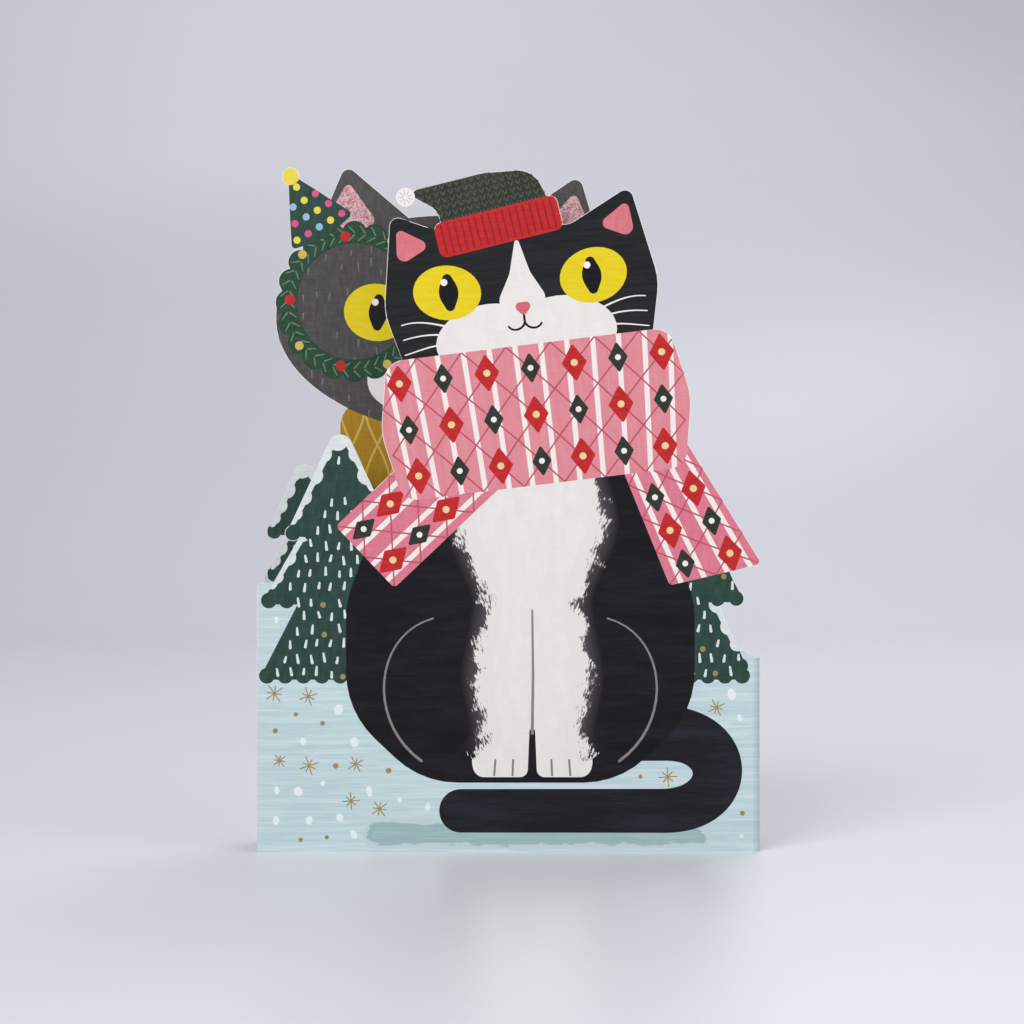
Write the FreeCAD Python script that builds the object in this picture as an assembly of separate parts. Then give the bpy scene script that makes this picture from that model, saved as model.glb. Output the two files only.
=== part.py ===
import FreeCAD, Part
import math
import os

# A free-standing greeting card: one sheet of coated board, creased twice and folded like a Z.
# Its three panels are die-cut. The front one is a sitting cat in a scarf between two fir trees,
# the middle one a second cat in a wreath and a party hat, and the back one a plain snowy hill.
# Lengths are in millimetres. X runs across the card, Y from front to back and Z is up.
# The origin is on the ground, at the middle of the folded card's footprint.

# The board and its two folds
board = 0.4
card_width = 127.0
fold_inner_radius = 0.9
fold_opening = 7.0
right_fold_height = 49.0
left_fold_height = 69.0
back_trim = 3.0
cut_corner_radius = 1.2
overlap = 3.0

# The snowy ground of the front panel
front_left_shoulder = 68.0
shoulder_length = 13.5
slope_rise = 2.5
slope_length = 4.2

# The sitting cat of the front panel, a pear from the neck down to the feet
cat_across = 3.0
foot_height = 17.5
body_height = 85.0
hip_half_width = 44.0
hip_height = 32.0
hip_length = 28.0
hip_radius = 23.0
neck_half_width = 29.0
neck_radius = 5.0
foot_half_width = 25.0

# Its scarf: a pillow-shaped band across the neck and two hanging ends
cat_tilt = 7.0
scarf_across = 4.0
scarf_rise = 8.0
scarf_half_width = 36.0
scarf_height = 35.5
scarf_bulge = 3.5
scarf_corner_radius = 5.0
scarf_side_radius = 18.0
left_end_inset = 10.0
left_end_width = 21.5
left_end_length = 26.5
left_end_angle = 43.5
right_end_inset = 17.0
right_end_root_width = 17.5
right_end_hem_width = 24.0
right_end_length = 33.0
right_end_angle = 13.0

# Its head and ears
head_rise = 34.0
head_half_width = 35.0
jaw_half_width = 30.0
head_top_height = 12.8
cheek_drop = 4.0
head_drop = 24.0
cheek_radius = 16.0
jaw_radius = 6.0
ear_height = 7.8
ear_width = 16.0
ear_tip_across = 30.5
ear_tip_radius = 2.2

# Its knitted cap: a cuff, and a crown that flops over to a bobble
cap_across = -3.5
cap_tilt = 14.0
cuff_width = 32.0
cuff_height = 6.0
cuff_corner_radius = 2.0
crown_inset = 2.0
crown_height = 9.5
crown_radius = 10.0
crown_flop = 5.0
bobble_radius = 2.4

# The fir trees. A tier is its top and its base below the tip, and its half width.
# A rise is from the ground that the tree stands in to its tip
snow_tip_radius = 3.0
snow_lump_radius = 2.0
snow_lump_spacing = 4.2
trunk_width = 5.0
left_fir_rise = 41.5
left_fir_inset = 21.0
left_fir_tiers = [(0, 30, 14), (12, 47, 20)]
right_fir_rise = 43.0
right_fir_inset = 17.5
right_fir_tiers = [(0, 29, 13.5), (14, 46, 14.5)]

# The second cat, on the middle panel: its head, its ears and the wreath round its face
friend_across = -14.5
friend_up = 134.0
friend_tilt = -3.5
friend_half_width = 46.5
friend_half_height = 28.0
friend_ear_across = 30.5
friend_ear_rise = 12.0
friend_ear_height = 27.5
friend_ear_width = 28.0
friend_ear_lean = 0.65
wreath_across = -26.0
wreath_up = 4.5
wreath_radius = 17.6
wreath_leaf_radius = 3.3
wreath_leaves = 20

# Its party hat, its scarf and its body
hat_width = 19.0
hat_height = 18.0
hat_angle = 30.0
hat_sag = 1.8
hat_inset = 11.0
hat_seat = 6.0
hat_bobble_radius = 2.3
collar_half_width = 29.5
collar_height = 22.0
collar_overlap = 8.0
collar_corner_radius = 6.0
friend_body_half_width = 26.0

# Hills and trees of the middle and back panels
hill_radius = 25.0
middle_hill_height = 74.0
bank_height = 69.0
bank_top_inset = 18.0
bank_foot_inset = 8.5
bank_foot_rise = 8.5
bank_radius = 6.0
middle_fir_rise = 33.5
middle_fir_inset = 9.5
middle_fir_tiers = [(0, 23, 10), (11, 34, 10)]
back_hill_height = 60.0
back_end_height = 45.0
back_left_fir_rise = 21.0
back_left_fir_inset = 14.0
back_left_fir_tiers = [(0, 18, 10), (9, 30, 12)]
back_right_fir_rise = 24.0
back_right_fir_inset = 35.0
back_right_fir_tiers = [(0, 18, 10), (9, 32, 12.5)]

# Worked out from the sizes above
fold_outer_radius = fold_inner_radius + board
fold_shift = fold_outer_radius + fold_inner_radius
opening = math.radians(fold_opening)
half_card = card_width / 2
axis_span = card_width - 2 * fold_outer_radius
middle_normal = FreeCAD.Vector(math.sin(opening), math.cos(opening), 0)
middle_run = FreeCAD.Vector(-math.cos(opening), math.sin(opening), 0)
middle_flat = (axis_span + fold_shift * middle_normal.x) / -middle_run.x
card_depth = 2 * fold_outer_radius + fold_shift * middle_normal.y + middle_flat * middle_run.y
front_y = -card_depth / 2
right_axis = FreeCAD.Vector(axis_span / 2, front_y + fold_outer_radius, 0)
left_axis = FreeCAD.Vector(-axis_span / 2, -front_y - fold_outer_radius, 0)
back_flat = half_card - back_trim - left_axis.x


def spot(across, up):
    """A point of a flat panel, seen from the front."""
    return FreeCAD.Vector(across, 0, up)


def turned(point, centre, degrees):
    """A point given from a centre, turned anticlockwise about it as seen from the front."""
    angle = math.radians(degrees)
    across = point[0] * math.cos(angle) - point[1] * math.sin(angle)
    up = point[0] * math.sin(angle) + point[1] * math.cos(angle)
    return (centre[0] + across, centre[1] + up)


def rounded(before, here, after, radius):
    """The three points of the arc that rounds a corner, as large as its two sides allow."""
    back = before - here
    ahead = after - here
    half = back.getAngle(ahead) / 2
    reach = min(radius / math.tan(half), 0.48 * back.Length, 0.48 * ahead.Length)
    first = here + back.normalize() * reach
    last = here + ahead.normalize() * reach
    rise = reach * math.tan(half) * (1 / math.sin(half) - 1)
    return (first, here + (back + ahead).normalize() * rise, last)


def slab(wire):
    """The board inside a flat outline that faces the front."""
    return Part.Face(wire).extrude(FreeCAD.Vector(0, board, 0))


def cut_outline(corners):
    """Board with the given corners (across, up, radius), each rounded unless its radius is 0."""
    points = [spot(across, up) for across, up, _ in corners]
    arcs = []
    for i, (_, _, radius) in enumerate(corners):
        after = points[(i + 1) % len(points)]
        if radius:
            arcs.append(rounded(points[i - 1], points[i], after, radius))
        else:
            arcs.append((points[i], points[i], points[i]))
    edges = []
    for arc, next_arc in zip(arcs, arcs[1:] + arcs[:1]):
        if arc[0] != arc[2]:
            edges.append(Part.Arc(*arc).toShape())
        edges.append(Part.LineSegment(arc[2], next_arc[0]).toShape())
    return slab(Part.Wire(edges))


def tilted_outline(corners, centre, degrees):
    """As cut_outline, with corners given from a centre and turned about it."""
    return cut_outline([(*turned(c[:2], centre, degrees), c[2]) for c in corners])


def disc(across, up, radius):
    """A round piece of board."""
    circle = Part.Circle(spot(across, up), FreeCAD.Vector(0, 1, 0), radius)
    return slab(Part.Wire(circle.toShape()))


def joined(shapes):
    """One piece of board made of pieces that overlap, with no seams between them."""
    return shapes[0].fuse(shapes[1:]).removeSplitter()


def fir(across, ground, rise, tiers):
    """A fir tree on its trunk, of stacked tiers with lumps of snow along their lower edges."""
    tip = ground + rise
    trunk_top = tip - tiers[-1][1] + overlap
    trunk_foot = min(ground, trunk_top) - 2 * overlap
    shapes = [
        cut_outline(
            [
                (across - trunk_width / 2, trunk_foot, 0),
                (across - trunk_width / 2, trunk_top, 0),
                (across + trunk_width / 2, trunk_top, 0),
                (across + trunk_width / 2, trunk_foot, 0),
            ]
        )
    ]
    for top_drop, base_drop, half in tiers:
        base = tip - base_drop
        shapes.append(
            cut_outline(
                [
                    (across, tip - top_drop, snow_tip_radius),
                    (across - half, base, snow_lump_radius),
                    (across + half, base, snow_lump_radius),
                ]
            )
        )
        reach = half - snow_lump_radius
        lumps = int(2 * reach / snow_lump_spacing)
        for i in range(lumps + 1):
            at = across - reach + 2 * reach * i / lumps
            shapes.append(disc(at, base + snow_lump_radius / 2, snow_lump_radius))
    return joined(shapes)


# Places on the front panel that its pieces share
neck_height = foot_height + body_height
scarf_centre = (cat_across + scarf_across, neck_height + scarf_rise)
head_centre = turned((0, head_rise), scarf_centre, cat_tilt)


def front_ground():
    """The snow under the front cat, with a shoulder at each side."""
    right = half_card - fold_outer_radius
    return cut_outline(
        [
            (-half_card, 0, 0),
            (-half_card, front_left_shoulder, cut_corner_radius),
            (-half_card + shoulder_length, front_left_shoulder, 0),
            (right - slope_length, right_fold_height + slope_rise, 0),
            (right, right_fold_height, 0),
            (right, 0, 0),
        ]
    )


def body():
    """The sitting body."""
    hip_top = foot_height + hip_height + hip_length / 2
    hip_foot = hip_top - hip_length
    return cut_outline(
        [
            (cat_across - neck_half_width, neck_height, neck_radius),
            (cat_across - hip_half_width, hip_top, hip_radius),
            (cat_across - hip_half_width, hip_foot, hip_radius),
            (cat_across - foot_half_width, foot_height, hip_radius),
            (cat_across + foot_half_width, foot_height, hip_radius),
            (cat_across + hip_half_width, hip_foot, hip_radius),
            (cat_across + hip_half_width, hip_top, hip_radius),
            (cat_across + neck_half_width, neck_height, neck_radius),
        ]
    )


def scarf_band():
    """The band of the scarf, which the head rests on."""
    half_up = scarf_height / 2
    side = scarf_half_width + scarf_bulge
    return tilted_outline(
        [
            (-scarf_half_width, half_up, scarf_corner_radius),
            (scarf_half_width, half_up, scarf_corner_radius),
            (side, 0, scarf_side_radius),
            (scarf_half_width, -half_up, scarf_corner_radius),
            (-scarf_half_width, -half_up, scarf_corner_radius),
            (-side, 0, scarf_side_radius),
        ],
        scarf_centre,
        cat_tilt,
    )


def left_scarf_end():
    """The end that swings out to the left, over the fir tree."""
    half = left_end_width / 2
    lower_edge = -scarf_height / 2 + overlap
    root = turned((-scarf_half_width + left_end_inset, lower_edge), scarf_centre, cat_tilt)
    return tilted_outline(
        [
            (overlap, half, 0),
            (-left_end_length, half, cut_corner_radius),
            (-left_end_length, -half, cut_corner_radius),
            (overlap, -half, 0),
        ],
        root,
        left_end_angle,
    )


def right_scarf_end():
    """The end that hangs down on the right and widens towards its hem."""
    lower_edge = -scarf_height / 2 + overlap
    root = turned((scarf_half_width - right_end_inset, lower_edge), scarf_centre, cat_tilt)
    hem_left = right_end_root_width / 2 - overlap
    return tilted_outline(
        [
            (0, overlap, 0),
            (right_end_root_width, overlap, 0),
            (hem_left + right_end_hem_width, -right_end_length, cut_corner_radius),
            (hem_left, -right_end_length, cut_corner_radius),
        ],
        root,
        right_end_angle,
    )


def head():
    """The head with its two ears, tilted with the scarf."""
    ear_root = ear_tip_across - ear_width
    ear_tip = head_top_height + ear_height
    return tilted_outline(
        [
            (-jaw_half_width, -head_drop, jaw_radius),
            (-head_half_width, -cheek_drop, cheek_radius),
            (-ear_tip_across, ear_tip, ear_tip_radius),
            (-ear_root, head_top_height, jaw_radius),
            (ear_root, head_top_height, jaw_radius),
            (ear_tip_across, ear_tip, ear_tip_radius),
            (head_half_width, -cheek_drop, cheek_radius),
            (jaw_half_width, -head_drop, jaw_radius),
        ],
        head_centre,
        cat_tilt,
    )


def cap():
    """The knitted cap between the ears."""
    centre = turned((cap_across, head_top_height), head_centre, cat_tilt)
    half = cuff_width / 2
    cuff = tilted_outline(
        [
            (-half, -overlap, cuff_corner_radius),
            (-half, cuff_height, cuff_corner_radius),
            (half, cuff_height, cuff_corner_radius),
            (half, -overlap, cuff_corner_radius),
        ],
        centre,
        cap_tilt,
    )
    foot = cuff_height - overlap / 2
    top = cuff_height + crown_height
    tip = half + crown_flop
    crown = tilted_outline(
        [
            (half - crown_inset, foot, 0),
            (half - 2 * crown_inset, top - crown_inset, crown_radius),
            (0, top, 2 * crown_radius),
            (-tip, top, cut_corner_radius),
            (-half + crown_inset, cuff_height + crown_height / 3, crown_radius),
            (-half + crown_inset, foot, 0),
        ],
        centre,
        cap_tilt,
    )
    bobble_at = turned((-tip, top - bobble_radius / 2), centre, cap_tilt)
    return joined([cuff, crown, disc(*bobble_at, bobble_radius)])


def front_outline():
    """The whole front panel as the die cuts it."""
    return joined(
        [
            front_ground(),
            fir(-half_card + left_fir_inset, front_left_shoulder, left_fir_rise, left_fir_tiers),
            fir(half_card - right_fir_inset, right_fold_height, right_fir_rise, right_fir_tiers),
            body(),
            left_scarf_end(),
            right_scarf_end(),
            scarf_band(),
            head(),
            cap(),
        ]
    )


def friend_head():
    """The second cat's broad head with its two ears."""
    centre = (friend_across, friend_up)
    ellipse = Part.Ellipse(spot(0, 0), friend_half_width, friend_half_height)
    ellipse.Axis = FreeCAD.Vector(0, -1, 0)
    ellipse.XAxis = FreeCAD.Vector(1, 0, 0)
    skull = slab(Part.Wire(ellipse.toShape()))
    skull.rotate(spot(0, 0), FreeCAD.Vector(0, -1, 0), friend_tilt)
    skull.translate(spot(*centre))
    tip = friend_half_height + friend_ear_rise
    outer = friend_ear_across + (1 - friend_ear_lean) * friend_ear_width
    inner = friend_ear_across - friend_ear_lean * friend_ear_width
    shapes = [skull]
    for side in (-1, 1):
        shapes.append(
            tilted_outline(
                [
                    (side * outer, tip - friend_ear_height, 0),
                    (side * friend_ear_across, tip, ear_tip_radius),
                    (side * inner, tip - friend_ear_height / 2, 0),
                    (side * friend_ear_across, 0, 0),
                ],
                centre,
                friend_tilt,
            )
        )
    return joined(shapes)


def wreath():
    """The leafy rim of the wreath round the second cat's face, a ring of small discs."""
    centre = turned((wreath_across, wreath_up), (friend_across, friend_up), friend_tilt)
    shapes = [disc(*centre, wreath_radius)]
    for i in range(wreath_leaves):
        at = turned((wreath_radius, 0), centre, 360 * i / wreath_leaves)
        shapes.append(disc(*at, wreath_leaf_radius))
    return joined(shapes)


def party_hat():
    """The cone-shaped hat beside the second cat's left ear."""
    half = hat_width / 2
    seat = (-friend_half_width + hat_inset, friend_half_height - hat_seat)
    foot = turned(seat, (friend_across, friend_up), friend_tilt)
    cone = tilted_outline(
        [
            (-half, 0, cut_corner_radius),
            (0, hat_height, cut_corner_radius),
            (half, 0, cut_corner_radius),
            (0, -hat_sag, hat_width),
        ],
        foot,
        hat_angle,
    )
    tip = turned((0, hat_height - hat_bobble_radius / 2), foot, hat_angle)
    return joined([cone, disc(*tip, hat_bobble_radius)])


def friend_collar_and_body():
    """The second cat's scarf, and the body under it down into the hill."""
    top = friend_up - friend_half_height + collar_overlap
    left = friend_across - collar_half_width
    right = friend_across + collar_half_width
    collar = cut_outline(
        [
            (left, top - collar_height, collar_corner_radius),
            (left, top, collar_corner_radius),
            (right, top, collar_corner_radius),
            (right, top - collar_height, collar_corner_radius),
        ]
    )
    body_left = friend_across - friend_body_half_width
    body_right = friend_across + friend_body_half_width
    foot = left_fold_height - overlap
    chest = cut_outline(
        [
            (body_left, foot, 0),
            (body_left, top - collar_height / 2, 0),
            (body_right, top - collar_height / 2, 0),
            (body_right, foot, 0),
        ]
    )
    return joined([collar, chest])


def middle_outline():
    """The whole middle panel as the die cuts it."""
    half = middle_flat / 2
    ground = cut_outline(
        [
            (-half, 0, 0),
            (-half, left_fold_height, 0),
            (-half + shoulder_length, left_fold_height, hill_radius),
            (friend_across, middle_hill_height, hill_radius),
            (half - bank_top_inset, bank_height, bank_radius),
            (half - bank_foot_inset, right_fold_height + bank_foot_rise, bank_radius),
            (half - slope_length, right_fold_height + slope_rise, bank_radius),
            (half, right_fold_height, 0),
            (half, 0, 0),
        ]
    )
    tree = fir(-half + middle_fir_inset, left_fold_height, middle_fir_rise, middle_fir_tiers)
    return joined(
        [ground, tree, friend_head(), wreath(), party_hat(), friend_collar_and_body()]
    )


def back_outline():
    """The whole back panel: a hill with two fir trees."""
    half = back_flat / 2
    ground = cut_outline(
        [
            (-half, 0, 0),
            (-half, left_fold_height, 0),
            (-half + shoulder_length, left_fold_height, hill_radius),
            (0, back_hill_height, hill_radius),
            (half, back_end_height, cut_corner_radius),
            (half, 0, 0),
        ]
    )
    left_across = -half + back_left_fir_inset
    right_across = half - back_right_fir_inset
    right_ground = back_hill_height + (back_end_height - back_hill_height) * right_across / half
    left_tree = fir(left_across, left_fold_height, back_left_fir_rise, back_left_fir_tiers)
    right_tree = fir(right_across, right_ground, back_right_fir_rise, back_right_fir_tiers)
    return joined([ground, left_tree, right_tree])


def set_up(outline, origin, degrees):
    """A flat panel turned and moved to its place on the standing card."""
    outline.rotate(FreeCAD.Vector(0, 0, 0), FreeCAD.Vector(0, 0, 1), degrees)
    outline.translate(origin)
    return outline


def fold(axis, start_degrees, sweep_degrees, height):
    """The board bent round a vertical axis, from a starting direction through a sweep."""

    def around(radius, share):
        angle = math.radians(start_degrees + share * sweep_degrees)
        return axis + FreeCAD.Vector(radius * math.cos(angle), radius * math.sin(angle), 0)

    inner, outer = fold_inner_radius, fold_outer_radius
    edges = [
        Part.Arc(around(outer, 0), around(outer, 0.5), around(outer, 1)).toShape(),
        Part.LineSegment(around(outer, 1), around(inner, 1)).toShape(),
        Part.Arc(around(inner, 1), around(inner, 0.5), around(inner, 0)).toShape(),
        Part.LineSegment(around(inner, 0), around(outer, 0)).toShape(),
    ]
    return Part.Face(Part.Wire(edges)).extrude(FreeCAD.Vector(0, 0, height))


def folded_card():
    """The whole card: three panels joined by two folds into one sheet."""
    turn = 180 - fold_opening
    middle_origin = right_axis + middle_normal * fold_inner_radius + middle_run * (middle_flat / 2)
    back_origin = left_axis + FreeCAD.Vector(back_flat / 2, fold_inner_radius, 0)
    pieces = [
        set_up(front_outline(), FreeCAD.Vector(0, front_y, 0), 0),
        fold(right_axis, -90, turn, right_fold_height),
        set_up(middle_outline(), middle_origin, -fold_opening),
        fold(left_axis, 270 - fold_opening, -turn, left_fold_height),
        set_up(back_outline(), back_origin, 0),
    ]
    return pieces[0].fuse(pieces[1:]).removeSplitter()


os.makedirs("parts", exist_ok=True)
card = folded_card()
box = card.BoundBox
print("solids", len(card.Solids), "valid", card.isValid(), "volume", round(card.Volume, 1))
print("box", [round(v, 3) for v in (box.XMin, box.XMax, box.YMin, box.YMax, box.ZMin, box.ZMax)])
print("centre of mass", [round(v, 2) for v in card.Solids[0].CenterOfMass])
card.exportStep("parts/folded_card.step")
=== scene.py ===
# %% [markdown]
# A free-standing greeting card. The real one is a single sheet of coated board, printed flat,
# die-cut along its top and creased twice, so that it folds like a Z and stands by itself.
# The shape of the board comes from the construction model. This script prints it: each field of
# ink is a thin flat mesh on the board's face, and the fields of a panel meet edge to edge.

# %% Load the board
import math
import random

import bpy
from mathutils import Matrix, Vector
from mathutils.geometry import delaunay_2d_cdt


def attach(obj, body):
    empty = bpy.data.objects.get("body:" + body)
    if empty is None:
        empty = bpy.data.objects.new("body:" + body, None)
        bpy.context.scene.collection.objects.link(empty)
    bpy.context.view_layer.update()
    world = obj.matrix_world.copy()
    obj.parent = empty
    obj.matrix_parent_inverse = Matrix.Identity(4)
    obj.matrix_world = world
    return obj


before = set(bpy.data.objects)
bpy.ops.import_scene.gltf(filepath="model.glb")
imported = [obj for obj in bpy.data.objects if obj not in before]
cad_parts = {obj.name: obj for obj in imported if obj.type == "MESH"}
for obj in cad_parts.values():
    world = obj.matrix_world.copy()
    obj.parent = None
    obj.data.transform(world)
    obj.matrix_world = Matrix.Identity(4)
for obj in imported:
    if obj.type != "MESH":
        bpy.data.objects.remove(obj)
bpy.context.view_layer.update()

# %% [markdown]
# The camera comes first, because everything is judged from it. A product photographer puts it
# level, at a bit more than half the card's height, so that the upright edges stay parallel.
# A small downward shift then frames the card without tilting the camera. The Standard view shows
# each colour as it is written, where a film-like view would grey the inks. Lengths are in
# millimetres. The photo's width and the names that end in px are in pixels, and its scale is in
# millimetres to a pixel.

# %% Camera
photo_scale = 0.2525
photo_width = 1024
card_centre_px = 508.5
card_foot_px = 852
camera_height = 95.0
camera_distance = 600.0
front_face = 10.0455
sensor_width = 36

bpy.context.scene.view_settings.view_transform = "Standard"
camera_data = bpy.data.cameras.new("camera")
camera = bpy.data.objects.new("camera", camera_data)
bpy.context.scene.collection.objects.link(camera)
bpy.context.scene.camera = camera
picture_centre = photo_width / 2
camera.location = (
    (picture_centre - card_centre_px) * photo_scale / 1000,
    -(front_face + camera_distance) / 1000,
    camera_height / 1000,
)
camera.rotation_euler = (math.radians(90), 0, 0)
camera_data.sensor_width = sensor_width
camera_data.lens = sensor_width * camera_distance / (photo_width * photo_scale)
horizon_px = card_foot_px - camera_height / photo_scale
camera_data.shift_y = (horizon_px - picture_centre) / photo_width
camera_data.clip_start = 0.01
print("lens", round(camera_data.lens, 1), "mm, shift", round(camera_data.shift_y, 3))

# %% [markdown]
# The light is one large soft box above the camera, a smaller one at the right, one behind for
# the backs of the panels, and a pale room all round. Together they light a surface at about its
# written colour, so no ink clips. Places and sizes of lamps are in metres, their power in watts.

# %% Lamps and room light
card_middle = Vector((0, 0, 0.09))
room_strength = 0.37


def soft_box(name, place, size, power):
    """A square soft box that points at the middle of the card."""
    lamp = bpy.data.lights.new(name, "AREA")
    lamp.size = size
    lamp.energy = power
    holder = bpy.data.objects.new(name, lamp)
    bpy.context.scene.collection.objects.link(holder)
    holder.location = place
    holder.rotation_euler = (card_middle - holder.location).to_track_quat("-Z", "Y").to_euler()


soft_box("key_soft_box", (-0.45, -0.8, 0.8), 0.6, 8)
soft_box("fill_soft_box", (0.75, -0.55, 0.45), 0.5, 2.4)
soft_box("rear_soft_box", (0.35, 0.7, 0.8), 0.6, 3.6)
room = bpy.data.worlds.new("pale_room")
room.use_nodes = True
room.node_tree.nodes["Background"].inputs["Color"].default_value = (1, 1, 1, 1)
room.node_tree.nodes["Background"].inputs["Strength"].default_value = room_strength
bpy.context.scene.world = room

# %% [markdown]
# Every colour is written as an sRGB hex value, as a print designer would note it, and turned to
# the linear values that the renderer works in. A finish is a material with a node tree, and one
# function adds a node to it.

# %% Colour and node helpers
def linear(colour):
    """An sRGB hex colour as linear red, green, blue and full opacity."""
    channels = [int(colour[i : i + 2], 16) / 255 for i in (1, 3, 5)]
    return [c / 12.92 if c <= 0.04045 else ((c + 0.055) / 1.055) ** 2.4 for c in channels] + [1]


def two_colours(first, second):
    """The settings of a node that mixes two colours."""
    return {"data_type": "RGBA", 6: linear(first), 7: linear(second)}


def new_finish(name):
    """A new material, its node tree and its main shader."""
    finish = bpy.data.materials.new(name)
    finish.use_nodes = True
    return finish, finish.node_tree, finish.node_tree.nodes["Principled BSDF"]


def set_up(tree, node, settings, links):
    """Sets values of a node, and links its inputs to outputs given as a node and its output."""
    for key, value in settings.items():
        if isinstance(key, int) or key in node.inputs:
            node.inputs[key].default_value = value
        else:
            setattr(node, key, value)
    for key, (source, output) in links.items():
        tree.links.new(source.outputs[output], node.inputs[key])


def add(tree, kind, settings=None, links=None):
    """Adds a node, sets its values and links its inputs."""
    node = tree.nodes.new("ShaderNode" + kind)
    set_up(tree, node, settings or {}, links or {})
    return node


print("middle grey is", round(linear("#808080")[0], 3), "in linear values")

# %% [markdown]
# The floor is a sheet of pale laminate that curves up into the backdrop, the way a studio sweep
# does. It isn't part of the card. Its sizes are in metres.

# %% Floor and backdrop
floor_front = -1.6
bend_start = 0.75
bend_radius = 0.35
bend_steps = 12
wall_top = 1.8
floor_half_width = 2.2


def floor_sweep():
    """A floor that bends up into a wall behind the card."""
    profile = [(floor_front, 0.0), (bend_start, 0.0)]
    for i in range(1, bend_steps + 1):
        angle = math.radians(90 * i / bend_steps)
        profile.append((bend_start + bend_radius * math.sin(angle), bend_radius * (1 - math.cos(angle))))
    profile.append((bend_start + bend_radius, wall_top))
    vertices = [(x, y, z) for y, z in profile for x in (-floor_half_width, floor_half_width)]
    faces = [(2 * i, 2 * i + 1, 2 * i + 3, 2 * i + 2) for i in range(len(profile) - 1)]
    mesh = bpy.data.meshes.new("floor_sweep")
    mesh.from_pydata(vertices, [], faces)
    mesh.polygons.foreach_set("use_smooth", [True] * len(faces))
    sweep = bpy.data.objects.new("floor_sweep", mesh)
    bpy.context.scene.collection.objects.link(sweep)
    return sweep


def pale_laminate():
    """Satin laminate with a faint cloudiness."""
    finish, tree, shader = new_finish("pale_satin_laminate")
    place = add(tree, "TexCoord")
    cloud = add(tree, "TexNoise", {"Scale": 3, "Detail": 2}, {"Vector": (place, "Object")})
    tint = add(tree, "Mix", two_colours("#dcdde6", "#e2e3eb"), {"Factor": (cloud, 0)})
    set_up(tree, shader, {"Roughness": 0.35}, {"Base Color": (tint, 2)})
    return finish


floor = floor_sweep()
floor.data.materials.append(pale_laminate())
print("floor and backdrop have", len(floor.data.polygons), "faces")

# %% [markdown]
# The board's sizes are repeated here, in millimetres, so that each ink field lies exactly on its
# panel. A panel is a flat sheet with its own across and up directions. The middle one is turned
# by the fold's opening of 7 degrees. A panel's seams are its edges at the folds, which aren't cut.

# %% Sizes of the board and its panels
board = 0.4
card_width = 127.0
fold_inner_radius = 0.9
fold_opening = 7.0
right_fold_height = 49.0
left_fold_height = 69.0
back_trim = 3.0
cut_corner_radius = 1.2
overlap = 3.0
ink_thickness = 0.02

fold_outer_radius = fold_inner_radius + board
fold_shift = fold_outer_radius + fold_inner_radius
opening = math.radians(fold_opening)
half_card = card_width / 2
axis_span = card_width - 2 * fold_outer_radius
middle_normal = Vector((math.sin(opening), math.cos(opening), 0))
middle_across = Vector((math.cos(opening), -math.sin(opening), 0))
middle_flat = (axis_span + fold_shift * middle_normal.x) / middle_across.x
card_depth = 2 * fold_outer_radius + fold_shift * middle_normal.y - middle_flat * middle_across.y
front_y = -card_depth / 2
right_axis = Vector((axis_span / 2, front_y + fold_outer_radius, 0))
left_axis = Vector((-axis_span / 2, -front_y - fold_outer_radius, 0))
back_flat = half_card - back_trim - left_axis.x
middle_origin = right_axis + middle_normal * fold_inner_radius - middle_across * (middle_flat / 2)
back_origin = left_axis + Vector((back_flat / 2, fold_inner_radius, 0))
flat_right = half_card - fold_outer_radius
middle_half = middle_flat / 2
back_half = back_flat / 2


def new_panel(origin, across, seams):
    """A panel on which fields of ink can be laid out."""
    return {"origin": origin, "across": across, "seams": seams, "fields": []}


front_panel = new_panel(Vector((0, front_y, 0)), Vector((1, 0, 0)), [flat_right])
middle_panel = new_panel(middle_origin, middle_across, [-middle_half, middle_half])
back_panel = new_panel(back_origin, Vector((1, 0, 0)), [-back_half])
print("card depth", round(card_depth, 3), "mm, middle panel", round(middle_flat, 2), "mm wide")

# %% [markdown]
# An outline is a list of points across and up a panel. Corners are rounded with true arcs, as a
# cutting rule bends round them. A corner is its place and its radius. An arc takes up to 48
# hundredths of each side, so that two arcs of one side never meet.

# %% Outlines with rounded corners
most_of_side = 0.48
arc_step = 9


def turned(point, centre, degrees):
    """A point given from a centre, turned anticlockwise about it."""
    angle = math.radians(degrees)
    across = point[0] * math.cos(angle) - point[1] * math.sin(angle)
    up = point[0] * math.sin(angle) + point[1] * math.cos(angle)
    return (centre[0] + across, centre[1] + up)


def rounded_outline(corners, centre=(0, 0), degrees=0):
    """The points of an outline with corners (across, up, radius), each rounded by an arc."""
    spots = [Vector(turned(c[:2], centre, degrees)) for c in corners]
    points = []
    for i, here in enumerate(spots):
        radius = corners[i][2]
        if not radius:
            points.append((here.x, here.y))
            continue
        back = spots[i - 1] - here
        ahead = spots[(i + 1) % len(spots)] - here
        half = back.angle(ahead) / 2
        reach = min(radius / math.tan(half), most_of_side * back.length, most_of_side * ahead.length)
        bisector = (back.normalized() + ahead.normalized()).normalized()
        middle = here + bisector * (reach / math.cos(half))
        first = here + back.normalized() * reach - middle
        last = here + ahead.normalized() * reach - middle
        start = math.atan2(first.y, first.x)
        sweep = (math.atan2(last.y, last.x) - start + math.pi) % math.tau - math.pi
        steps = max(2, math.ceil(abs(math.degrees(sweep)) / arc_step))
        for k in range(steps + 1):
            angle = start + sweep * k / steps
            points.append(
                (middle.x + first.length * math.cos(angle), middle.y + first.length * math.sin(angle))
            )
    return points


def mirrored(corners, middle=0):
    """Corners on the other side of an upright line, in the opposite order."""
    return [(2 * middle - a, *rest) for a, *rest in corners[::-1]]


def symmetric(corners, middle=0):
    """Corners and then their mirror images, so that only one half is written down."""
    return corners + mirrored(corners, middle)


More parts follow.
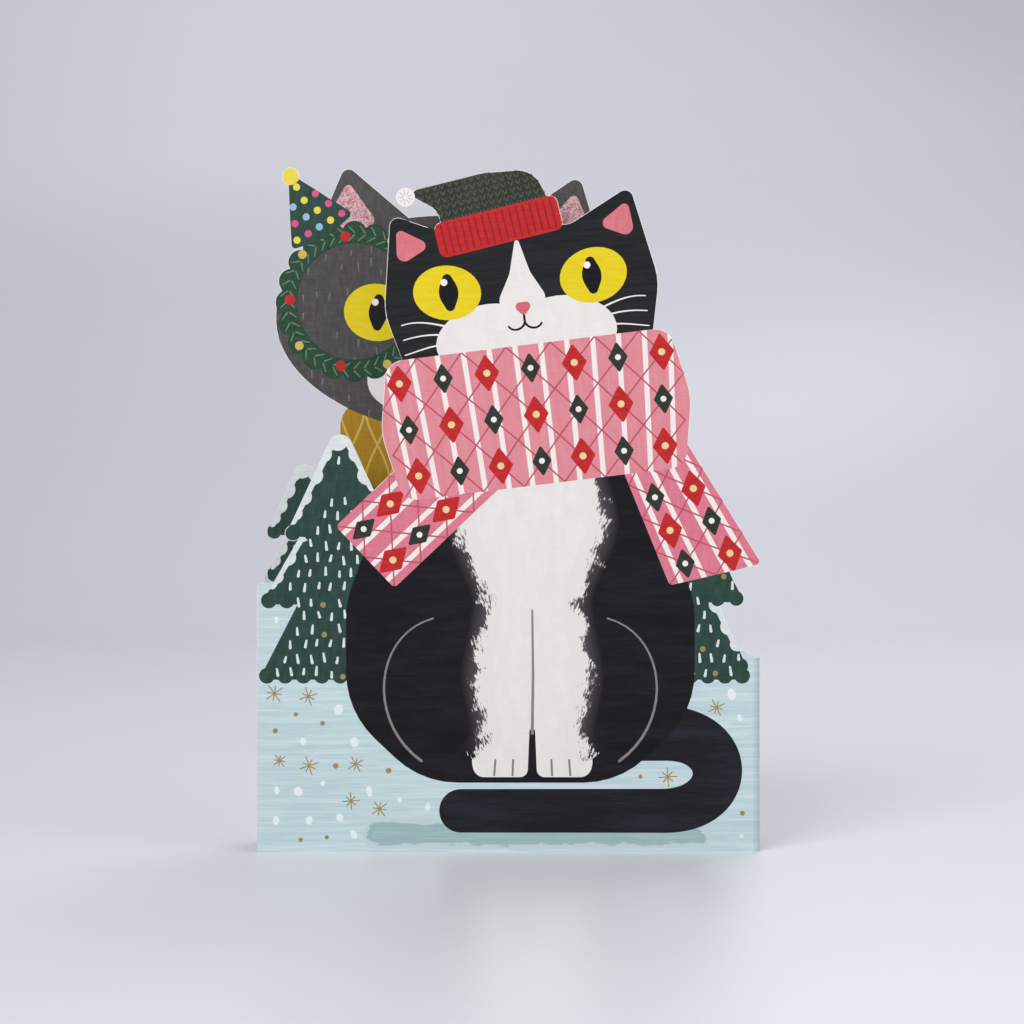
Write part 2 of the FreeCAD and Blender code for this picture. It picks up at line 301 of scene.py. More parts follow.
def both_sides(corners, centre, degrees):
    """An outline and its mirror image, turned about a centre."""
    return [
        rounded_outline([(side * a, u, r) for a, u, r in corners], centre, degrees) for side in (-1, 1)
    ]


print("a square with round corners has", len(rounded_outline(symmetric([(3, 3, 1), (3, -3, 1)]))), "points")

# %% [markdown]
# Ovals and brush strokes are outlines too. A stroke is a line with a width, round at both ends,
# which is how a loaded brush marks paper. Wide strokes get more points round their ends.

# %% Ovals and strokes
narrow_half_width = 2
narrow_cap_steps = 8
wide_cap_steps = 30


def oval(across, up, half_width, half_height=None, degrees=0, steps=36):
    """The points of an oval, or of a disc when it has one radius."""
    half_height = half_height or half_width
    return [
        turned(
            (half_width * math.cos(math.tau * k / steps), half_height * math.sin(math.tau * k / steps)),
            (across, up),
            degrees,
        )
        for k in range(steps)
    ]


def bent_line(start, first_pull, second_pull, end, steps=18):
    """The points of a curve from start to end, pulled towards two points on its way."""
    points = []
    for k in range(steps + 1):
        t = k / steps
        weights = ((1 - t) ** 3, 3 * t * (1 - t) ** 2, 3 * t * t * (1 - t), t**3)
        spots = (start, first_pull, second_pull, end)
        points.append(tuple(sum(w * s[j] for w, s in zip(weights, spots)) for j in (0, 1)))
    return points


def line_sides(line, half_widths):
    """The left and the right side of a line, which has a half width at each of its points."""
    left, right = [], []
    for i, (here, half) in enumerate(zip(line, half_widths)):
        run = (Vector(line[min(i + 1, len(line) - 1)]) - Vector(line[max(i - 1, 0)])).normalized()
        left.append((here[0] - run.y * half, here[1] + run.x * half))
        right.append((here[0] + run.y * half, here[1] - run.x * half))
    return left, right


def brush_stroke(line, width, end_width=None):
    """The outline of a stroke along a line, which may taper and has round ends."""
    end_width = width if end_width is None else end_width
    last = len(line) - 1
    left, right = line_sides(line, [(width + (end_width - width) * i / last) / 2 for i in range(last + 1)])

    def cap(point, towards, half):
        start = math.degrees(math.atan2(towards.y, towards.x)) + 90
        steps = narrow_cap_steps if half < narrow_half_width else wide_cap_steps
        return [turned((half, 0), point, start - 180 * k / steps) for k in range(1, steps)]

    out = (Vector(line[-1]) - Vector(line[-2])).normalized()
    home = (Vector(line[0]) - Vector(line[1])).normalized()
    return left + cap(line[-1], out, end_width / 2) + right[::-1] + cap(line[0], home, width / 2)


print("a disc has", len(oval(0, 0, 1)), "points, a short stroke", len(brush_stroke([(0, 0), (1, 0)], 1)))

# %% [markdown]
# A field of ink is one flat mesh of one outline or several. Fields are first only laid out, each
# over those before it, and may be kept inside or outside other outlines. All outlines run
# anticlockwise, because the triangulation later counts overlapping ones by their direction.

# %% Lay out fields of ink
def print_field(name, outlines, panel, ink, inside=(), outside=(), fades=None):
    """Lays out a field over those before it, only inside some outlines and outside others."""
    field = {"name": name, "ink": ink, "fades": fades}
    for role, rings in (("print", outlines), ("inside", inside), ("outside", outside)):
        field[role] = [ring if area(ring) > 0 else ring[::-1] for ring in rings]
    panel["fields"].append(field)


def area(ring):
    """The area inside an outline, which is negative where it runs clockwise."""
    return sum(a[0] * b[1] - b[0] * a[1] for a, b in zip(ring, [*ring[1:], ring[0]])) / 2


print("an oval of 2 by 1 mm covers", round(area(oval(0, 0, 1, 0.5)), 2), "square mm")

# %% [markdown]
# On a real press, a colour is knocked out wherever a later one covers it, so that no ink lies on
# another. The same is done here: each panel is cut by one constrained triangulation, where every
# triangle goes to the last field that covers it. So the fields meet edge to edge in one plane.

# %% Cut the fields out of each other
only_inside_outlines = 1
merge_distance = 1e-4


def covers(field, number, owners):
    """Whether a field covers a triangle, given which rings of which fields hold it."""
    roles = {role for owner, role in owners if owner == number}
    return "print" in roles and "outside" not in roles and ("inside" in roles or not field["inside"])


def print_panel(panel):
    """Cuts a panel's fields out of each other and makes their meshes."""
    points, rings, owner_of = [], [], []
    for number, field in enumerate(panel["fields"]):
        for role in ("print", "inside", "outside"):
            for ring in field[role]:
                rings.append(list(range(len(points), len(points) + len(ring))))
                points.extend(Vector(p) for p in ring)
                owner_of.append((number, role))
    spots, _, triangles, _, _, ring_lists = delaunay_2d_cdt(
        points, [], rings, only_inside_outlines, merge_distance
    )
    shares = [[] for _ in panel["fields"]]
    for triangle, ring_list in zip(triangles, ring_lists):
        owners = [owner_of[r] for r in ring_list]
        for number in sorted({o[0] for o in owners}, reverse=True):
            if covers(panel["fields"][number], number, owners):
                shares[number].append(tuple(triangle))
                break
    leave_white_rim(spots, [t for share in shares for t in share], panel["seams"])
    for field, share in zip(panel["fields"], shares):
        if share:
            print_share(field, share, spots, panel)
        else:
            print(field["name"], "lies wholly under later fields and isn't printed")
    print(len(panel["fields"]), "fields,", len(triangles), "triangles")


# %% [markdown]
# A field's share of the triangles becomes one mesh. Each gets a UV map in millimetres across and
# up the panel, so that every pattern has its real size. It rides on the card.

# %% Mesh of a field
def print_share(field, share, spots, panel):
    """Makes the mesh of one field, one thickness of ink in front of its panel."""
    out = Vector((panel["across"].y, -panel["across"].x, 0))
    lifted = panel["origin"] + out * ink_thickness
    used = sorted({i for triangle in share for i in triangle})
    number = {i: k for k, i in enumerate(used)}
    mesh = bpy.data.meshes.new(field["name"])
    places = [spots[i] for i in used]
    vertices = [(lifted + panel["across"] * p.x + Vector((0, 0, p.y))) / 1000 for p in places]
    mesh.from_pydata(vertices, [], [tuple(number[i] for i in triangle) for triangle in share])
    finish_print(mesh, places, field["ink"])
    if field["fades"]:
        map_fade(mesh, places, *field["fades"])


def finish_print(mesh, places, ink):
    """Gives a printed mesh its map in millimetres and its ink, and lets it ride on the card."""
    millimetres = mesh.uv_layers.new(name="millimetres")
    for loop in mesh.loops:
        millimetres.data[loop.index].uv = places[loop.vertex_index]
    mesh.materials.append(ink)
    piece = bpy.data.objects.new(mesh.name, mesh)
    bpy.context.scene.collection.objects.link(piece)
    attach(piece, "root")


print("ink is", ink_thickness, "mm proud of the board")

# %% [markdown]
# A cutting rule bursts the coating a little, so the ink ends just short of each cut edge and
# leaves a fine white rim. It doesn't at the folds, where the print runs on. The edge of the print
# is where an edge belongs to only one triangle. A point moves less where a triangle would flip.

# %% White rim
white_rim = 0.13
rim_shares = (1, 0.5, 0.25, 0)


def leave_white_rim(spots, triangles, seams):
    """Draws the print in from the board's cut edges, but not from its foot or its folds."""
    edges = {(t[k], t[(k + 1) % 3]) for t in triangles for k in range(3)}
    inward = {}
    for a, b in edges:
        if (b, a) not in edges:
            run = (spots[b] - spots[a]).normalized()
            for spot in (a, b):
                inward[spot] = inward.get(spot, Vector((0, 0))) + Vector((-run.y, run.x))
    touching = {spot: [] for spot in inward}
    for triangle in triangles:
        for spot in triangle:
            if spot in touching:
                touching[spot].append(triangle)
    for spot, direction in inward.items():
        here = spots[spot].copy()
        if here.y < white_rim or any(abs(here.x - seam) < white_rim for seam in seams):
            continue
        for share in rim_shares:
            spots[spot] = here + direction.normalized() * (white_rim * share)
            if all(area([spots[i] for i in t]) > 0 for t in touching[spot]):
                break


print("ink ends", white_rim, "mm short of a cut")

# %% [markdown]
# A brushed edge gets a second map, which says how far across the edge a point is and how near to
# one of its ends. The last 7 mm at each end count as near.

# %% Map of a brushed edge
end_fade = 7.0


def map_fade(mesh, places, line, width):
    """Maps a brushed edge: V from 0 on its left to 1 on its right, U from 0 at its ends to 1."""
    spots = [Vector(p) for p in line]
    whole = sum((b - a).length for a, b in zip(spots, spots[1:]))
    shares = []
    for place in places:
        nearest, gone = None, 0
        for a, b in zip(spots, spots[1:]):
            run = b - a
            along = max(0, min(1, (place - a).dot(run) / run.length_squared))
            apart = place - a - run * along
            if nearest is None or apart.length < nearest[0]:
                nearest = (apart.length, run.x * apart.y - run.y * apart.x, gone + along * run.length)
            gone += run.length
        across = 0.5 - math.copysign(min(nearest[0] / width, 0.5), nearest[1])
        shares.append((min(1, nearest[2] / end_fade, (whole - nearest[2]) / end_fade), across))
    fade = mesh.uv_layers.new(name="fade")
    for loop in mesh.loops:
        fade.data[loop.index].uv = shares[loop.vertex_index]
    mesh.uv_layers.active = mesh.uv_layers["millimetres"]


print("a brushed edge fades in over", end_fade, "mm")

# %% [markdown]
# The board itself is coated on both sides and stays white where nothing is printed: the backs of
# the panels and all cut edges. Clay coating is smooth but not glossy. Its faint tooth is about
# 0.3 mm, drawn at 0.5 mm so that a render can show it.

# %% Board
tooth_mm = 0.5
cloud_mm = 25


def clay_coated_board():
    """White board with a faint tooth."""
    finish, tree, shader = new_finish("clay_coated_white_board")
    place = add(tree, "TexCoord")
    on_board = {"Vector": (place, "Object")}
    cloud = add(tree, "TexNoise", {"Scale": 1000 / cloud_mm, "Detail": 3}, on_board)
    tint = add(tree, "Mix", two_colours("#ebeae6", "#f1f0ec"), {"Factor": (cloud, 0)})
    tooth = add(tree, "TexNoise", {"Scale": 1000 / tooth_mm, "Detail": 2}, on_board)
    bump = add(tree, "Bump", {"Strength": 0.25, "Distance": 0.00003}, {"Height": (tooth, 0)})
    look = {"Roughness": 0.55, "IOR": 1.5}
    set_up(tree, shader, look, {"Base Color": (tint, 2), "Normal": (bump, "Normal")})
    return finish


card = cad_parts["folded_card"]
card.data.materials.clear()
card.data.materials.append(clay_coated_board())
print("board is", card.data.materials[0].name, "with a tooth of", tooth_mm, "mm")

# %% [markdown]
# Offset ink on coated board has a satin sheen. The picture was painted with gouache before it was
# printed, so each field has soft brush streaks of a second colour. The board is embossed with a
# laid texture: fine level lines about 0.3 mm apart, drawn at 0.6 mm so that a render can show them.
# The ridges also pull the colour a little towards the streak colour: a painted sheen along them.
# One function mixes every such ink from two colours and a streak size.

# %% Satin ink with painted streaks
laid_line_mm = (8, 0.3)
ridge_sheen_share = 0.45
least_streak, full_streak = 0.36, 0.68
ink_roughness = 0.42
emboss = {"Strength": 0.4, "Distance": 0.00003}
varnish = {"IOR": 1.5, "Specular IOR Level": 0.15}


def stretched(size_mm, turn=0):
    """The settings that stretch a pattern to a length and a width, and turn it."""
    return {"vector_type": "TEXTURE", "Rotation": (0, 0, math.radians(turn)), "Scale": (*size_mm, 1)}


def flat_noise(size_mm, detail, roughness=0.5):
    """The settings of a cloudy pattern on the flat maps."""
    return {"noise_dimensions": "2D", "Scale": 1 / size_mm, "Detail": detail, "Roughness": roughness}


def laid_ridges(tree, place):
    """The board's embossed level lines."""
    along = add(tree, "Mapping", stretched(laid_line_mm), {"Vector": (place, "UV")})
    return add(tree, "TexNoise", flat_noise(1, 1), {"Vector": (along, "Vector")})


def painted_ink(name, colour, streak, streak_mm, strength=0.6, turn=0):
    """Satin ink whose painted streaks have a length and a width in millimetres."""
    ink, tree, shader = new_finish(name + "_gouache_print")
    place = add(tree, "UVMap", {"uv_map": "millimetres"})
    along = add(tree, "Mapping", stretched(streak_mm, turn), {"Vector": (place, "UV")})
    brush = add(tree, "TexNoise", flat_noise(1, 5, 0.62), {"Vector": (along, "Vector")})
    ridges = laid_ridges(tree, place)
    # The laid ridges add to the streak share: a painted sheen along the lines, besides their real bump.
    ridged = {"operation": "MULTIPLY_ADD", 1: ridge_sheen_share}
    thinned = add(tree, "Math", ridged, {0: (ridges, 0), 2: (brush, 0)})
    limits = {"From Min": least_streak + ridge_sheen_share / 2, "From Max": full_streak + ridge_sheen_share / 2}
    share = add(tree, "MapRange", {**limits, "To Max": strength}, {"Value": (thinned, 0)})
    mixed = add(tree, "Mix", two_colours(colour, streak), {"Factor": (share, 0)})
    bump = add(tree, "Bump", emboss, {"Height": (ridges, 0)})
    sheen = {"To Min": ink_roughness - 0.05, "To Max": ink_roughness + 0.08}
    rough = add(tree, "MapRange", sheen, {"Value": (brush, 0)})
    outputs = {"Base Color": (mixed, 2), "Normal": (bump, "Normal"), "Roughness": (rough, 0)}
    set_up(tree, shader, varnish, outputs)
    return ink


print("laid lines are", laid_line_mm[1], "mm wide and", laid_line_mm[0], "mm long")

# %% [markdown]
# The palette is that of a winter picture: cold blues and whites, near-blacks, a warm pink, and
# small amounts of red, yellow and dark green. More inks follow where only one thing needs them.

# %% Inks
ice_blue = painted_ink("ice_blue", "#b8ced3", "#d3e1e4", (34, 1.1), 0.75)
# Painted shade: a slightly darker blue for the outsides of the folds and the score line beside one, where
# shade falls in the crease.
fold_shade_blue = painted_ink("fold_shade_blue", "#acc2c7", "#c4d4d8", (34, 1.1), 0.75)
fir_green = painted_ink("fir_green", "#29413a", "#375249", (5, 1.4), 0.7, 80)
snow_white = painted_ink("snow_white", "#cfd7d9", "#e2e8e8", (4, 1.2), 0.7)
coat_black = painted_ink("coat_black", "#131215", "#24252d", (22, 4), 0.5)
tail_black = painted_ink("tail_black", "#19191f", "#2d2e3a", (26, 4), 0.55)
head_black = painted_ink("head_black", "#1d1d1f", "#2b2d30", (18, 1.3), 0.6, 7)
chest_white = painted_ink("chest_white", "#e3dfdc", "#ebe8e5", (3, 7))
scarf_pink = painted_ink("scarf_pink", "#d98590", "#e0969f", (1.4, 9), 0.6, 7)
scarf_end_pink = painted_ink("scarf_end_pink", "#d5748a", "#dd8596", (1.4, 7))
stripe_cream = painted_ink("stripe_cream", "#ece5df", "#f2ece6", (1.2, 6), 0.5)
berry_red = painted_ink("berry_red", "#b92427", "#c63535", (3, 1))
flake_white = painted_ink("flake_white", "#dfe9ee", "#edf3f5", (1.2, 1.2))
crossing_rose = painted_ink("crossing_rose", "#b4505f", "#bd5e6b", (3, 1))
leaf_green = painted_ink("leaf_green", "#2c312b", "#3b4139", (3, 1))
pale_gold = painted_ink("pale_gold", "#e3c98f", "#efdcb0", (1, 1))
ear_pink = painted_ink("ear_pink", "#d0707a", "#da8389", (1, 4))
eye_yellow = painted_ink("eye_yellow", "#e0c81b", "#e8d32f", (5, 1))
pupil_black = painted_ink("pupil_black", "#131315", "#1d1d21", (3, 0.8))
nose_pink = painted_ink("nose_pink", "#ca6368", "#d4757a", (2, 0.8))
line_grey = painted_ink("line_grey", "#8d8684", "#77706f", (2, 0.5))
knit_olive = painted_ink("knit_olive", "#2f322b", "#3d4138", (1.1, 14), 0.8, 20)
cat_grey = painted_ink("cat_grey", "#484646", "#5a5857", (1.1, 3), 0.7)
mustard = painted_ink("mustard", "#a67e20", "#b58e33", (1.3, 9), 0.7)
gold_line = painted_ink("gold_line", "#cdae55", "#d9bd6c", (3, 1), 0.5)
wreath_green = painted_ink("wreath_green", "#27422f", "#345340", (2, 1), 0.7)
shade_teal = painted_ink("shade_teal", "#99b3b6", "#aac1c4", (16, 0.9), 0.8)
print("mixed", len(bpy.data.materials), "finishes")

# %% [markdown]
# The ground goes down first: pale ice blue from edge to edge of the front panel. The die cuts its
# shoulders, and the print runs on round the outside of the right fold, as a real bleed does. The
# fold and a fine line beside it are printed a slightly darker blue: painted shade in the crease.

# %% Ground of the front panel
front_left_shoulder = 68.0
shoulder_length = 13.5
slope_rise = 2.5
slope_length = 4.2
fold_steps = 24
score_inset = 0.2
score_width = 0.3

ground_outline = rounded_outline(
    [
        (-half_card, 0, 0),
        (-half_card, front_left_shoulder, cut_corner_radius),
        (-half_card + shoulder_length, front_left_shoulder, 0),
        (flat_right - slope_length, right_fold_height + slope_rise, 0),
        (flat_right, right_fold_height, 0),
        (flat_right, 0, 0),
    ]
)
print_field("front_ground_print", [ground_outline], front_panel, ice_blue)


def print_round_fold(name, axis, start, sweep, height, first_across):
    """Prints the outside of a fold, going on from a panel's edge."""
    reach = fold_outer_radius + ink_thickness
    vertices, places, faces = [], [], []
    for k in range(fold_steps + 1):
        angle = math.radians(start + sweep * k / fold_steps)
        across = first_across + math.radians(sweep) * fold_outer_radius * k / fold_steps
        for up in (0, height):
            vertices.append((axis + Vector((reach * math.cos(angle), reach * math.sin(angle), up))) / 1000)
            places.append((across, up))
    for k in range(fold_steps):
        quad = (2 * k, 2 * k + 2, 2 * k + 3, 2 * k + 1)
        faces.append(quad if sweep > 0 else quad[::-1])
    mesh = bpy.data.meshes.new(name)
    mesh.from_pydata(vertices, [], faces)
    mesh.polygons.foreach_set("use_smooth", [True] * len(faces))
    # The fold is printed in the darker blue: painted shade on the crease.
    finish_print(mesh, places, fold_shade_blue)


fold_turn = 180 - fold_opening
print_round_fold("right_fold_print", right_axis, -90, fold_turn, right_fold_height, flat_right)
score = flat_right - score_inset
score_line = brush_stroke([(score, score_width), (score, right_fold_height - score_width)], score_width)
# The score line is a stroke of the darker blue: painted shade in the crease.
print_field("right_crease_line_print", [score_line], front_panel, fold_shade_blue)
print("print on the fold is", round(math.radians(fold_turn) * fold_outer_radius, 2), "mm long")

# %% [markdown]
# Gold foil is stamped last: a hot die presses a metal film on. It is thin aluminium with a gold
# lacquer, so it reads as metal, with fine crinkles about 0.6 mm across.

# %% Gold foil
crinkle_mm = 0.6


def stamped_foil():
    """Gold foil with fine crinkles."""
    finish, tree, shader = new_finish("stamped_gold_foil")
    place = add(tree, "UVMap", {"uv_map": "millimetres"})
    crinkle = add(tree, "TexNoise", flat_noise(crinkle_mm, 3), {"Vector": (place, "UV")})
    tint = add(tree, "Mix", two_colours("#a98b45", "#d9c486"), {"Factor": (crinkle, 0)})
    bump = add(tree, "Bump", {"Strength": 0.5, "Distance": 0.00005}, {"Height": (crinkle, 0)})
    look = {"Metallic": 1, "Roughness": 0.32}
    set_up(tree, shader, look, {"Base Color": (tint, 2), "Normal": (bump, "Normal")})
    return finish


gold_foil = stamped_foil()
print("foil is", gold_foil.name)

# %% [markdown]
# The firs are stacked tiers with round lumps along each lower edge. A tier is its top and its
# base below the tip, and its half width. The die cuts the upper tiers free, and one more tier is
# only printed, over the ground.

# %% Outlines of the firs
snow_tip_radius = 3.0
snow_lump_radius = 2.0
snow_lump_spacing = 4.2
left_fir_rise = 41.5
left_fir_inset = 21.0
left_fir_tiers = [(0, 30, 14), (12, 47, 20)]
right_fir_rise = 43.0
right_fir_inset = 17.5
right_fir_tiers = [(0, 29, 13.5), (14, 46, 14.5)]
left_printed_tier = (26, 66, 20.5)
right_printed_tier = (26, 48.5, 15)

left_fir_at = (-half_card + left_fir_inset, front_left_shoulder + left_fir_rise)
right_fir_at = (half_card - right_fir_inset, right_fold_height + right_fir_rise)


def tier_outlines(across, tip, tiers):
    """The triangle of each tier of a fir."""
    outlines = []
    for top_drop, base_drop, half in tiers:
        corners = [(across, tip - top_drop, snow_tip_radius)]
        corners += [(across + s * half, tip - base_drop, snow_lump_radius) for s in (-1, 1)]
        outlines.append(rounded_outline(corners))
    return outlines


def lump_outlines(across, tip, tiers):
    """The row of lumps along the lower edge of each tier."""
    outlines = []
    for _, base_drop, half in tiers:
        reach = half - snow_lump_radius
        lumps = int(2 * reach / snow_lump_spacing)
        for i in range(lumps + 1):
            at = across - reach + 2 * reach * i / lumps
            outlines.append(oval(at, tip - base_drop + snow_lump_radius / 2, snow_lump_radius, steps=20))
    return outlines


def is_inside(point, outline):
    """Whether a point lies inside an outline."""
    inside = False
    for a, b in zip(outline, [*outline[1:], outline[0]]):
        if (a[1] > point[1]) != (b[1] > point[1]):
            if point[0] < a[0] + (b[0] - a[0]) * (point[1] - a[1]) / (b[1] - a[1]):
                inside = not inside
    return inside


fir_widths = [2 * half for _, _, half in (*left_fir_tiers, left_printed_tier)]
print("the left fir's tiers are", fir_widths, "mm wide")

# %% [markdown]
# Short pale dabs on a fir stand for needles with frost on them. They hang in uneven rows, as a
# hand paints them, and are about 3.5 mm apart.

# %% Frost
frost_gap = (3.4, 3.6)
frost_width = 0.75
frost_length = 1.7


def frost_dabs(outlines, chance):
    """Rows of short upright dabs inside some outlines."""
    left, right = (pick(p[0] for o in outlines for p in o) for pick in (min, max))
    low, high = (pick(p[1] for o in outlines for p in o) for pick in (min, max))
    dabs = []
    for row in range(int((high - low) / frost_gap[1])):
        up = low + frost_gap[1] * (row + 0.5)
        for column in range(int((right - left) / frost_gap[0]) + 1):
            across = left + frost_gap[0] * (column + (row % 2) / 2) + chance.uniform(-0.4, 0.4)
            height = frost_length * chance.uniform(0.7, 1.15)
            at = up + chance.uniform(-0.5, 0.5)
            ends = ((across, at - height), (across, at + height))
            if all(any(is_inside(e, o) for o in outlines) for e in ends):
                lean = chance.uniform(-0.2, 0.2)
                line = [(across - lean, at - height / 2), (across + lean, at + height / 2)]
                dabs.append(brush_stroke(line, frost_width, frost_width * 0.7))
    return dabs


print("a dab of frost is about", frost_width, "by", frost_length, "mm")

# %% [markdown]
# Snow lies on the tip and down the slopes, where no higher tier shelters them: a stroke along the
# slope with round lumps on it. Their places are shares of the slope from its top. The left slope
# carries more. Here and there a foil dot hangs in the place of a dab of frost.

# %% Fir with its snow
trunk_width = 5.0
tip_snow = ((0, 1.0, 5.2), (0.6, 5.6, 2.6))
left_slope_reach = 0.86
right_slope_reach = (0.58, 0.24)
slope_snow_width = (3.6, 2.2)
slope_lumps = ((0.3, 2.1), (0.48, 2.4), (0.66, 2.1), (0.8, 1.7))
foil_dot_radius = 0.7
foil_dot_first = 5
foil_dot_every = 13


def slope_snow(across, tip, tier, number):
    """The snow on a tier: on its two slopes, and on the tip if it is the first tier."""
    top_drop, base_drop, half = tier
    drop = base_drop - top_drop
    snow = []
    if number == 0:
        snow += [oval(across - left, tip - below, radius) for left, below, radius in tip_snow]
    for side, reach in ((-1, left_slope_reach), (1, right_slope_reach[0] + right_slope_reach[1] * number)):
        ends = [(across + side * half * s, tip - top_drop - drop * s) for s in (0.05, reach)]
        snow.append(brush_stroke(ends, *slope_snow_width))
        for share, radius in slope_lumps:
            if share < reach:
                snow.append(oval(across + side * half * share, tip - top_drop - drop * share, radius))
    return snow


def print_fir(name, across, tip, tiers, panel, seed, printed_tier=None):
    """Lays out a fir with its snow, its frost dabs and its foil dots."""
    every_tier = [*tiers, printed_tier] if printed_tier else tiers
    triangles = tier_outlines(across, tip, every_tier)
    green = triangles + lump_outlines(across, tip, every_tier)
    if not printed_tier:
        trunk_top = tip - tiers[-1][1] + overlap
        green.append(brush_stroke([(across, trunk_top), (across, trunk_top - 2 * overlap)], trunk_width))
    print_field(name + "_print", green, panel, fir_green)
    all_snow = []
    for number, tier in enumerate(tiers):
        snow = slope_snow(across, tip, tier, number)
        higher = tier_outlines(across, tip, tiers[:number]) + lump_outlines(across, tip, tiers[:number])
        snow_name = f"{name}_tier_{number + 1}_snow_print"
        print_field(snow_name, snow, panel, snow_white, inside=[triangles[number]], outside=higher)
        all_snow += snow
    dabs = frost_dabs(triangles, random.Random(seed))
    dabs = [dab for dab in dabs if not any(is_inside(p, s) for p in dab for s in all_snow)]
    dots = [oval(*dab[0], foil_dot_radius, steps=16) for dab in dabs[foil_dot_first::foil_dot_every]]
    del dabs[foil_dot_first::foil_dot_every]
    print_field(name + "_frost_print", dabs, panel, snow_white)
    print_field(name + "_foil_dots", dots, panel, gold_foil)
    print(name, "has", len(dabs), "dabs and", len(dots), "foil dots")


print_fir("left_fir", *left_fir_at, left_fir_tiers, front_panel, 11, left_printed_tier)
print_fir("right_fir", *right_fir_at, right_fir_tiers, front_panel, 12, right_printed_tier)

# %% [markdown]
# A plain black-and-white coat is the commonest pattern there is. The cat sits as a pear shape with
# its tail laid round in front, over a soft shade on the snow. The outlines come before they are
# printed, because the stars and flakes keep clear of them.

# %% Outlines of the body, the tail and its shade
cat_across = 3.0
foot_height = 17.5
body_height = 85.0
hip_half_width = 44.0
hip_height = 32.0
hip_length = 28.0
hip_radius = 23.0
neck_half_width = 29.0
neck_radius = 5.0
foot_half_width = 25.0
tail_width = 14.0
tail_tip_width = 11.0
tail_up = 10.4
tail_root = (30, 30)
tail_bend_across = 39
tail_pull_across = 57.3
tail_middle_across = 12
tail_tip_across = -12

neck_height = foot_height + body_height
hip_top = foot_height + hip_height + hip_length / 2
hip_foot = hip_top - hip_length
left_body = [
    (cat_across - neck_half_width, neck_height, neck_radius),
    (cat_across - hip_half_width, hip_top, hip_radius),
    (cat_across - hip_half_width, hip_foot, hip_radius),
    (cat_across - foot_half_width, foot_height, hip_radius),
]
body_outline = rounded_outline(symmetric(left_body, cat_across))
tail_bend = bent_line(
    (tail_bend_across, tail_root[1]),
    (tail_pull_across, tail_root[1]),
    (tail_pull_across, tail_up),
    (tail_bend_across, tail_up),
    steps=48,
)
tail_line = [tail_root, *tail_bend, (tail_middle_across, tail_up), (tail_tip_across, tail_up)]
tail_outline = brush_stroke(tail_line, tail_width, tail_tip_width)
shade_outline = rounded_outline(
    [(-37, 2.2, 2.4), (10, 1.8, 0), (51, 2.3, 2.2), (48.5, 6.6, 2.4), (-34, 7.6, 2.8)]
)
print("body", 2 * hip_half_width, "mm wide and", body_height, "mm high")

# %% [markdown]
# Small foil stars of eight thin arms and round foil dots are scattered over the snow, with white
# dabs of paint between them for falling flakes. Their places are random ones from a fixed seed, at
# least 5 mm apart, so every run of the script gives the same card.

# %% Foil stars and snow flakes
tries_per_place = 60
short_arm_share = 0.72
arm_width = 0.3
clearance = 2.9


def scattered(count, across_range, up_range, gap, chance, allowed):
    """Seeded random places at least a gap apart, where a test allows them."""
    places = []
    for _ in range(count * tries_per_place):
        place = (chance.uniform(*across_range), chance.uniform(*up_range))
        near = any((Vector(place) - Vector(p)).length < gap for p in places)
        if not near and allowed(place):
            places.append(place)
        if len(places) == count:
            break
    return places


def star(across, up, reach, turn):
    """The eight arms of a star."""
    arms = []
    for k in range(4):
        length = reach * (1 if k % 2 == 0 else short_arm_share)
        ends = [turned((side * length, 0), (across, up), turn + 45 * k) for side in (-1, 1)]
        arms.append(brush_stroke(ends, arm_width))
    return arms


def flake(across, up, chance):
    """A soft dab of white, longer than wide and never twice the same."""
    half_width = chance.uniform(0.5, 1.2)
    half_height = half_width * chance.uniform(1.1, 1.7)
    corners = []
    for angle in range(0, 360, 60):
        corner = turned((chance.uniform(0.85, 1.2), 0), (0, 0), angle)
        corners.append((corner[0] * half_width, corner[1] * half_height, 0.5))
    return rounded_outline(corners, (across, up), chance.uniform(-30, 30))


kept_clear = [body_outline, tail_outline, shade_outline]
for fir_at, every_tier in (
    (left_fir_at, [*left_fir_tiers, left_printed_tier]),
    (right_fir_at, [*right_fir_tiers, right_printed_tier]),
):
    kept_clear += tier_outlines(*fir_at, every_tier) + lump_outlines(*fir_at, every_tier)


def on_open_snow(place):
    """Whether a place on the front panel's ground is clear of the cat, the shade and the firs."""
    margin = oval(*place, clearance, steps=8)
    return all(is_inside(m, ground_outline) and not any(is_inside(m, c) for c in kept_clear) for m in margin)


snow_chance = random.Random(21)
stars, flakes = [], []
for number, place in enumerate(scattered(56, (-62, 61), (2, 66), 5.0, snow_chance, on_open_snow)):
    if number % 4 == 0:
        stars += star(*place, snow_chance.uniform(1.7, 2.6), snow_chance.uniform(0, 45))
    elif number % 4 == 2:
        stars.append(oval(*place, snow_chance.uniform(0.5, 0.75), steps=16))
    else:
        flakes.append(flake(*place, snow_chance))
print_field("snow_flakes", flakes, front_panel, flake_white)
print_field("foil_stars", stars, front_panel, gold_foil)
print(len(stars), "foil marks and", len(flakes), "flakes")

# %% [markdown]
# A dry brush skips: the paint thins and breaks into specks where the brush runs out of it. The
# speckle is noise stretched along the brush, laid against the map of how far across the edge a
# point is. Bristles part by about 0.3 mm, drawn at 0.5 mm so that a render can show them. The two
# noises add up to about 1, so ink and bare base part where the map less the noise is about -0.5.

# %% Dry-brushed ink
fully_inked, fully_bare = -0.56, -0.46
patch_mm = 5


